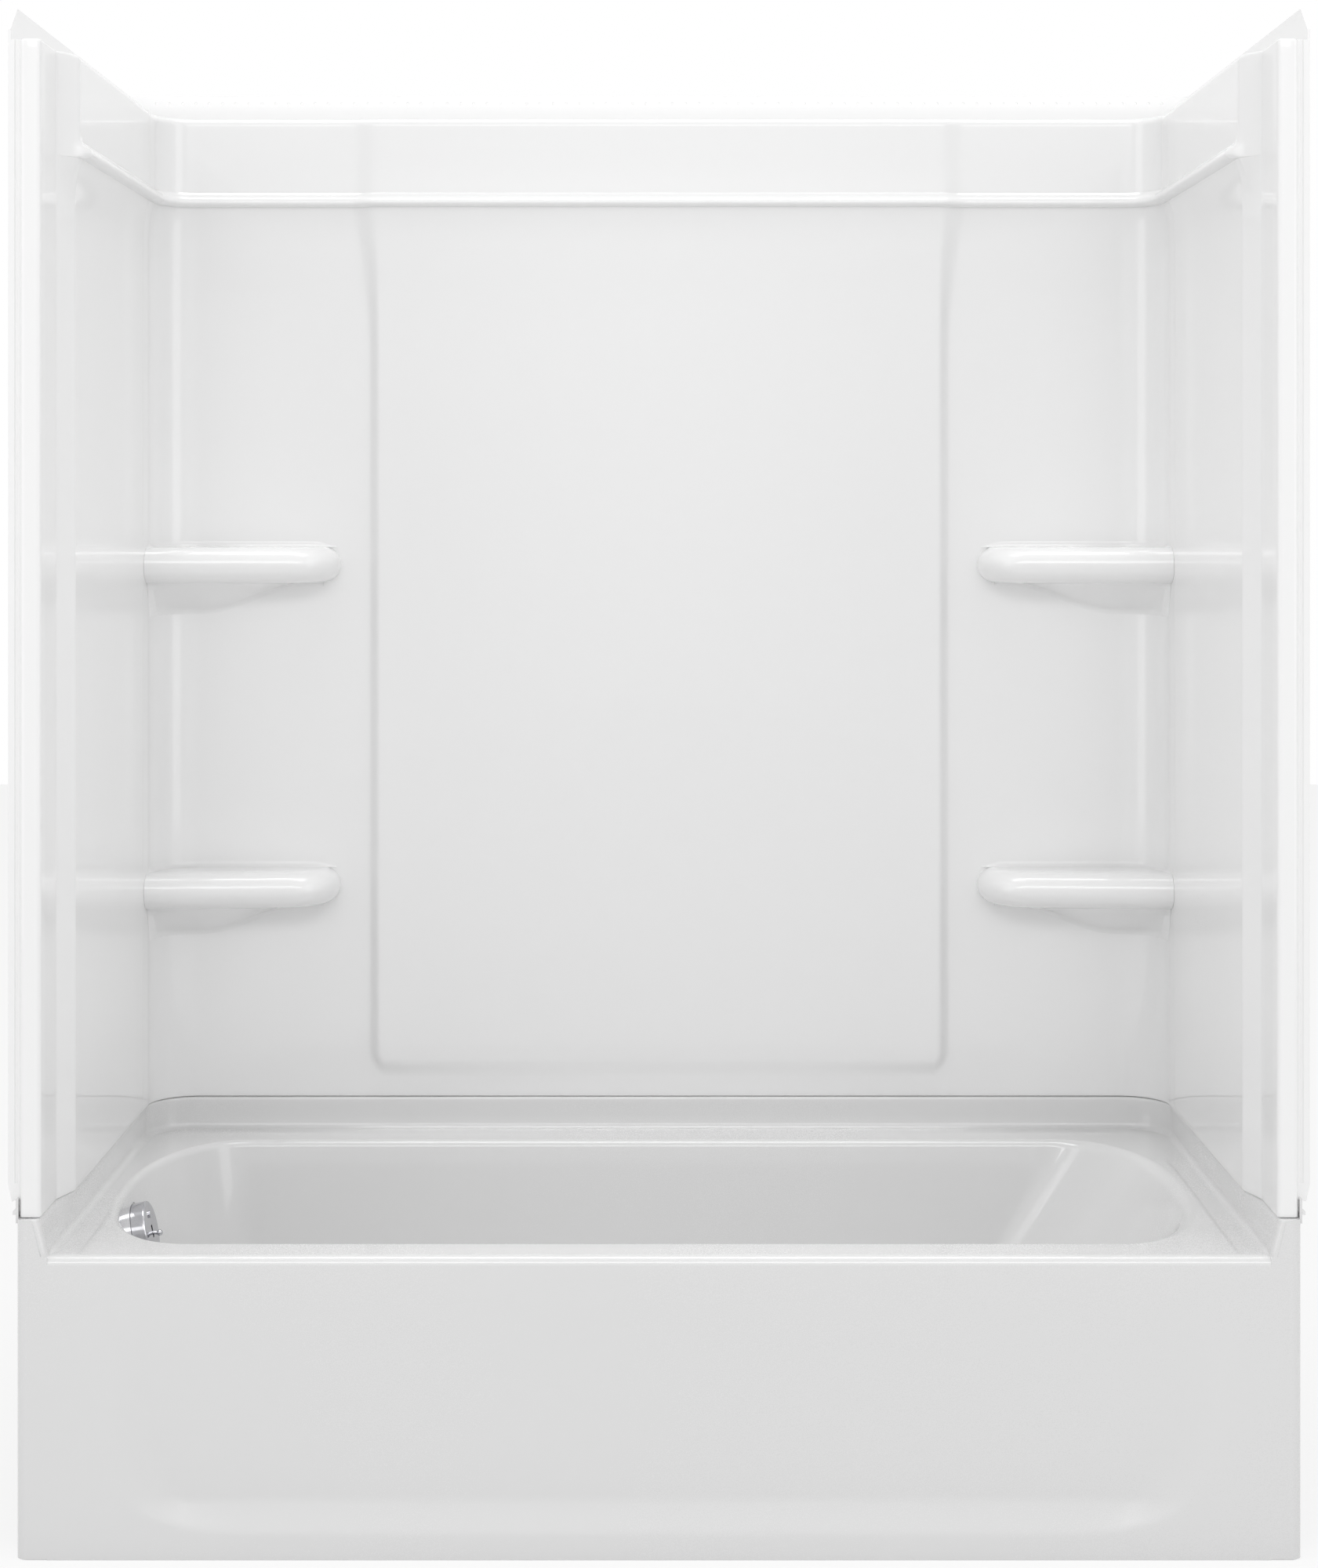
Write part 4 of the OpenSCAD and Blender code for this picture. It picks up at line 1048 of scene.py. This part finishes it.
def nail_holes(height, count=77, pitch=19.05, radius=1.9):
    """A row of plugs for the nail holes, made with Geometry Nodes."""
    tree = bpy.data.node_groups.new("nail_row", "GeometryNodeTree")
    values = {"Count": count, "Pitch": pitch / 1000, "Radius": radius / 1000}
    sockets = {}
    for name, value in values.items():
        kind = "NodeSocketInt" if name == "Count" else "NodeSocketFloat"
        s = tree.interface.new_socket(name, in_out="INPUT", socket_type=kind)
        s.default_value = value
        sockets[name] = s.identifier
    tree.interface.new_socket("Geometry", in_out="OUTPUT", socket_type="NodeSocketGeometry")
    group_in, group_out = tree.nodes.new("NodeGroupInput"), tree.nodes.new("NodeGroupOutput")
    line = tree.nodes.new("GeometryNodeMeshLine")
    offset = tree.nodes.new("ShaderNodeCombineXYZ")
    plug = tree.nodes.new("GeometryNodeMeshCylinder")
    plug.inputs["Vertices"].default_value = 16
    plug.inputs["Depth"].default_value = 0.012
    on = tree.nodes.new("GeometryNodeInstanceOnPoints")
    on.inputs["Rotation"].default_value = (math.pi / 2, 0, 0)
    real = tree.nodes.new("GeometryNodeRealizeInstances")
    paint = tree.nodes.new("GeometryNodeSetMaterial")
    paint.inputs["Material"].default_value = finish("wall_white")
    link = tree.links.new
    link(group_in.outputs["Count"], line.inputs["Count"])
    link(group_in.outputs["Pitch"], offset.inputs["X"])
    link(offset.outputs[0], line.inputs["Offset"])
    link(group_in.outputs["Radius"], plug.inputs["Radius"])
    link(line.outputs[0], on.inputs["Points"])
    link(plug.outputs[0], on.inputs["Instance"])
    link(on.outputs[0], real.inputs[0])
    link(real.outputs[0], paint.inputs["Geometry"])
    link(paint.outputs[0], group_out.inputs[0])
    me = bpy.data.meshes.new("nail_seed")
    obj = bpy.data.objects.new("nail_seed", me)
    bpy.context.scene.collection.objects.link(obj)
    mod = obj.modifiers.new("nail_row", "NODES")
    mod.node_group = tree
    for name, value in values.items():
        mod[sockets[name]] = value
    out = plain_mesh(obj)
    bpy.data.objects.remove(obj)
    for v in out.vertices:
        v.co += Vector((-(count - 1) * pitch / 2000, DEPTH / 2000, height / 1000))
    return out


def shelf_skin(shell, w, top, side):
    """A corner shelf with a full round nose and a fairing below."""
    face, rear, corner, length = w.face, w.rear, w.corner, w.shelf_length
    deep, shallow, bend = w.shelf_depth, 85.0, 60.0
    drop, fillet, belly_start, belly_run = 41.0, 6.0, 217.0, 150.0
    tip_steps, front_steps, nose_steps, belly_steps = 22, 26, 16, 20
    r = w.shelf_thick / 2

    def outline(inset):
        d_tip, d_corner = shallow - inset, deep - inset
        x0 = face - length + inset + bend
        pts = []
        for k in range(tip_steps + 1):
            a = math.pi / 2 * k / tip_steps
            pts.append((x0 - bend * math.cos(a), rear - d_tip * math.sin(a) ** 0.85))
        for k in range(1, front_steps + 1):
            f = k / front_steps
            pts.append((x0 + (face - 0.2 - x0) * f, rear - d_tip - (d_corner - d_tip) * f))
        return pts

    def wall_behind(x):
        inside = max(0.0, x - (face - corner))
        return rear - corner + math.sqrt(max(0.0, corner ** 2 - inside ** 2))

    rings = [[(x, v, top) for x, v in outline(r + 14)]]
    for k in range(nose_steps + 1):
        a = math.pi * k / nose_steps
        rings.append([(x, v, top - r * (1 - math.cos(a))) for x, v in outline(r * (1 - math.sin(a)))])
    for k in range(1, belly_steps + 1):
        ring = []
        for x, v in outline(r):
            total = wall_behind(x) + 1.0 - v
            left = total * (1 - k / belly_steps) ** 2
            main = drop * ease((x - (face - belly_start)) / belly_run) * (1 - left / max(total, 0.01))
            u = max(0.0, min(1.0, (fillet + 1 - left) / fillet))
            ring.append((x, v + total - left, top - 2 * r - main - fillet * (1 - math.sqrt(1 - u * u))))
        rings.append(ring)
    behind = []
    cx, cv, buried = face - corner, rear - corner, corner + 2.0
    for k in range(17):
        a = math.pi / 2 * k / 16
        behind.append((cx + buried * math.cos(a), cv + buried * math.sin(a)))
    behind += [(cx - (length - corner) * f, cv + buried) for f in (0.3, 0.6, 1.0)]
    for ring in rings:
        ring += [(x, v, ring[-1][2]) for x, v in behind]
    shell.tube([[(side * x, v, z) for x, v, z in ring] for ring in rings])


def shelf_cove(shell, w, top, side):
    """The hollow round between a shelf's top and the wall behind it."""
    tip = w.face - w.shelf_length + 6
    corners = [(w.face, w.seam + 22, 0), (w.face, w.rear, w.corner), (tip, w.rear, 0)]
    path = finer(rounded(corners, 20), lambda v: 8.0)
    rings = []
    for k, (p, n) in enumerate(zip(path, inward(path))):
        r = w.shelf_cove * ease(min(k, len(path) - 1 - k) / 5) + 0.3
        profile = [(-1.0, top - 1), (r, top - 1)]
        for j in range(9):
            b = math.pi / 2 * j / 8
            profile.append((r * (1 - math.sin(b)), top + r * (1 - math.cos(b))))
        profile.append((-1.0, top + r))
        rings.append([(side * (p.x + n.x * o), p.y + n.y * o, z) for o, z in profile])
    shell.tube(rings)


# Fittings that keep their solids
class TUB_OT_fittings(bpy.types.Operator):
    """Finishes of the drain, overflow, seals, clips and supports"""

    bl_idname = "tub.fittings"
    bl_label = "Fittings"

    def execute(self, context):
        slots = {s["node"]: s["material_slot"] for s in frame["record"]["subparts"]}
        for name, obj in frame["nodes"].items():
            if slots[name] not in ("tub_white", "wall_white"):
                for place in obj.material_slots:
                    place.material = finish(slots[name])
        return {"FINISHED"}


# Stage
FLOOR_HALF = 9.0
SEEN_FLOOR = 0.8
FILL_LIGHT = 0.52


def seen_rays(tree):
    """One for rays that show the background: camera, glossy and transmission rays."""
    path = tree.nodes.new("ShaderNodeLightPath")
    rays = [Socket(tree, path.outputs[f"Is {kind} Ray"]) for kind in ("Camera", "Glossy", "Transmission")]
    return rays[0] + rays[1] + rays[2]


def lamp(name, place, aim, size, size_y, radiance):
    """An oblong soft lamp, turned to a point."""
    data = bpy.data.lights.new(name, "AREA")
    data.shape = "RECTANGLE"
    data.size, data.size_y = size, size_y
    data.energy = radiance * math.pi * size * size_y
    obj = bpy.data.objects.new(name, data)
    bpy.context.scene.collection.objects.link(obj)
    obj.location = place
    obj.rotation_euler = (Vector(aim) - Vector(place)).to_track_quat("-Z", "Y").to_euler()


def add_floor(scene):
    """A pale floor that shows white to the camera and keeps the object's shadow."""
    corners = ((-1, -1), (1, -1), (1, 1), (-1, 1))
    me = bpy.data.meshes.new("studio_floor")
    me.from_pydata([(x * FLOOR_HALF, y * FLOOR_HALF, 0) for x, y in corners], [], [(0, 1, 2, 3)])
    floor = bpy.data.objects.new("studio_floor", me)
    scene.collection.objects.link(floor)
    f = Finish("studio_floor")
    colour = (*scene.tub_finishes.floor, 1)
    soft = f.node("ShaderNodeBsdfDiffuse", {}, {"Color": colour, "Roughness": 0.4})
    glow = f.node("ShaderNodeEmission", {}, {"Color": (1, 1, 1, 1), "Strength": 1.0})
    mix = f.node("ShaderNodeMixShader", {}, {0: seen_rays(f.tree) * SEEN_FLOOR, 1: soft, 2: glow})
    me.materials.append(f.output(mix))


def add_world(scene):
    """White where it is seen, and a plain fill light elsewhere."""
    world = bpy.data.worlds.new("studio")
    scene.world = world
    world.use_nodes = True
    tree = world.node_tree
    tree.nodes.clear()
    back = tree.nodes.new("ShaderNodeBackground")
    out = tree.nodes.new("ShaderNodeOutputWorld")
    seen = seen_rays(tree)
    level = seen + (1 - seen) * FILL_LIGHT
    tree.links.new(level.link, back.inputs["Strength"])
    back.inputs["Color"].default_value = (1, 1, 1, 1)
    tree.links.new(back.outputs[0], out.inputs["Surface"])


def add_camera(scene):
    """The photograph's camera: level, on the middle line, and shifted down."""
    data = bpy.data.cameras.new("photo_camera")
    data.lens, data.sensor_width, data.sensor_fit = 64.87, 36.0, "AUTO"
    data.shift_y = -0.174
    data.clip_end = 60.0
    cam = bpy.data.objects.new("photo_camera", data)
    scene.collection.objects.link(cam)
    cam.location = (0.0, -3.688, 1.227)
    cam.rotation_euler = (math.pi / 2, 0.0, 0.0)
    scene.camera = cam


class TUB_OT_stage(bpy.types.Operator):
    """Pale floor, soft studio light and the camera"""

    bl_idname = "tub.stage"
    bl_label = "Stage"

    def execute(self, context):
        scene = context.scene
        scene.view_settings.view_transform = "Standard"
        add_floor(scene)
        add_world(scene)
        lamp("overhead_softbox", (0.0, 0.05, 9.0), (0.0, 0.05, 0.0), 5.0, 2.5, 5.4)
        for s in (-1, 1):
            lamp("high_side_softbox", (s * 2.4, -1.6, 3.2), (s * -0.7, 0.1, 0.8), 1.4, 1.4, 1.0)
            lamp("side_softbox", (s * 2.6, -2.2, 1.5), (s * -0.7, 0.0, 1.0), 1.6, 2.4, 1.0)
        lamp("front_softbox", (0.0, -3.9, 2.9), (0.0, 0.0, 1.1), 3.4, 1.0, 3.0)
        add_camera(scene)
        return {"FINISHED"}


OPERATORS = (TUB_OT_stage, TUB_OT_fittings, TUB_OT_bathtub, TUB_OT_end_walls, TUB_OT_rear_wall)


class TUB_PT_panel(bpy.types.Panel):
    """Lists the pieces of the unit"""

    bl_idname = "TUB_PT_panel"
    bl_label = "Tub and shower unit"
    bl_space_type = "VIEW_3D"
    bl_region_type = "UI"
    bl_category = "Tub unit"

    def draw(self, context):
        for op in OPERATORS:
            self.layout.operator(op.bl_idname, text=op.bl_label)


CLASSES = (TubSettings, WallSettings, FinishSettings, *OPERATORS, TUB_PT_panel)


def register():
    for c in CLASSES:
        bpy.utils.register_class(c)
    bpy.types.Scene.tub_sizes = bpy.props.PointerProperty(type=TubSettings)
    bpy.types.Scene.wall_sizes = bpy.props.PointerProperty(type=WallSettings)
    bpy.types.Scene.tub_finishes = bpy.props.PointerProperty(type=FinishSettings)


def unregister():
    del bpy.types.Scene.tub_sizes, bpy.types.Scene.wall_sizes, bpy.types.Scene.tub_finishes
    for c in reversed(CLASSES):
        bpy.utils.unregister_class(c)


def main():
    """Makes every piece and the stage."""
    register()
    for op in OPERATORS:
        group, name = op.bl_idname.split(".")
        getattr(getattr(bpy.ops, group), name)()
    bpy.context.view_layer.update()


if __name__ == "__main__":
    main()
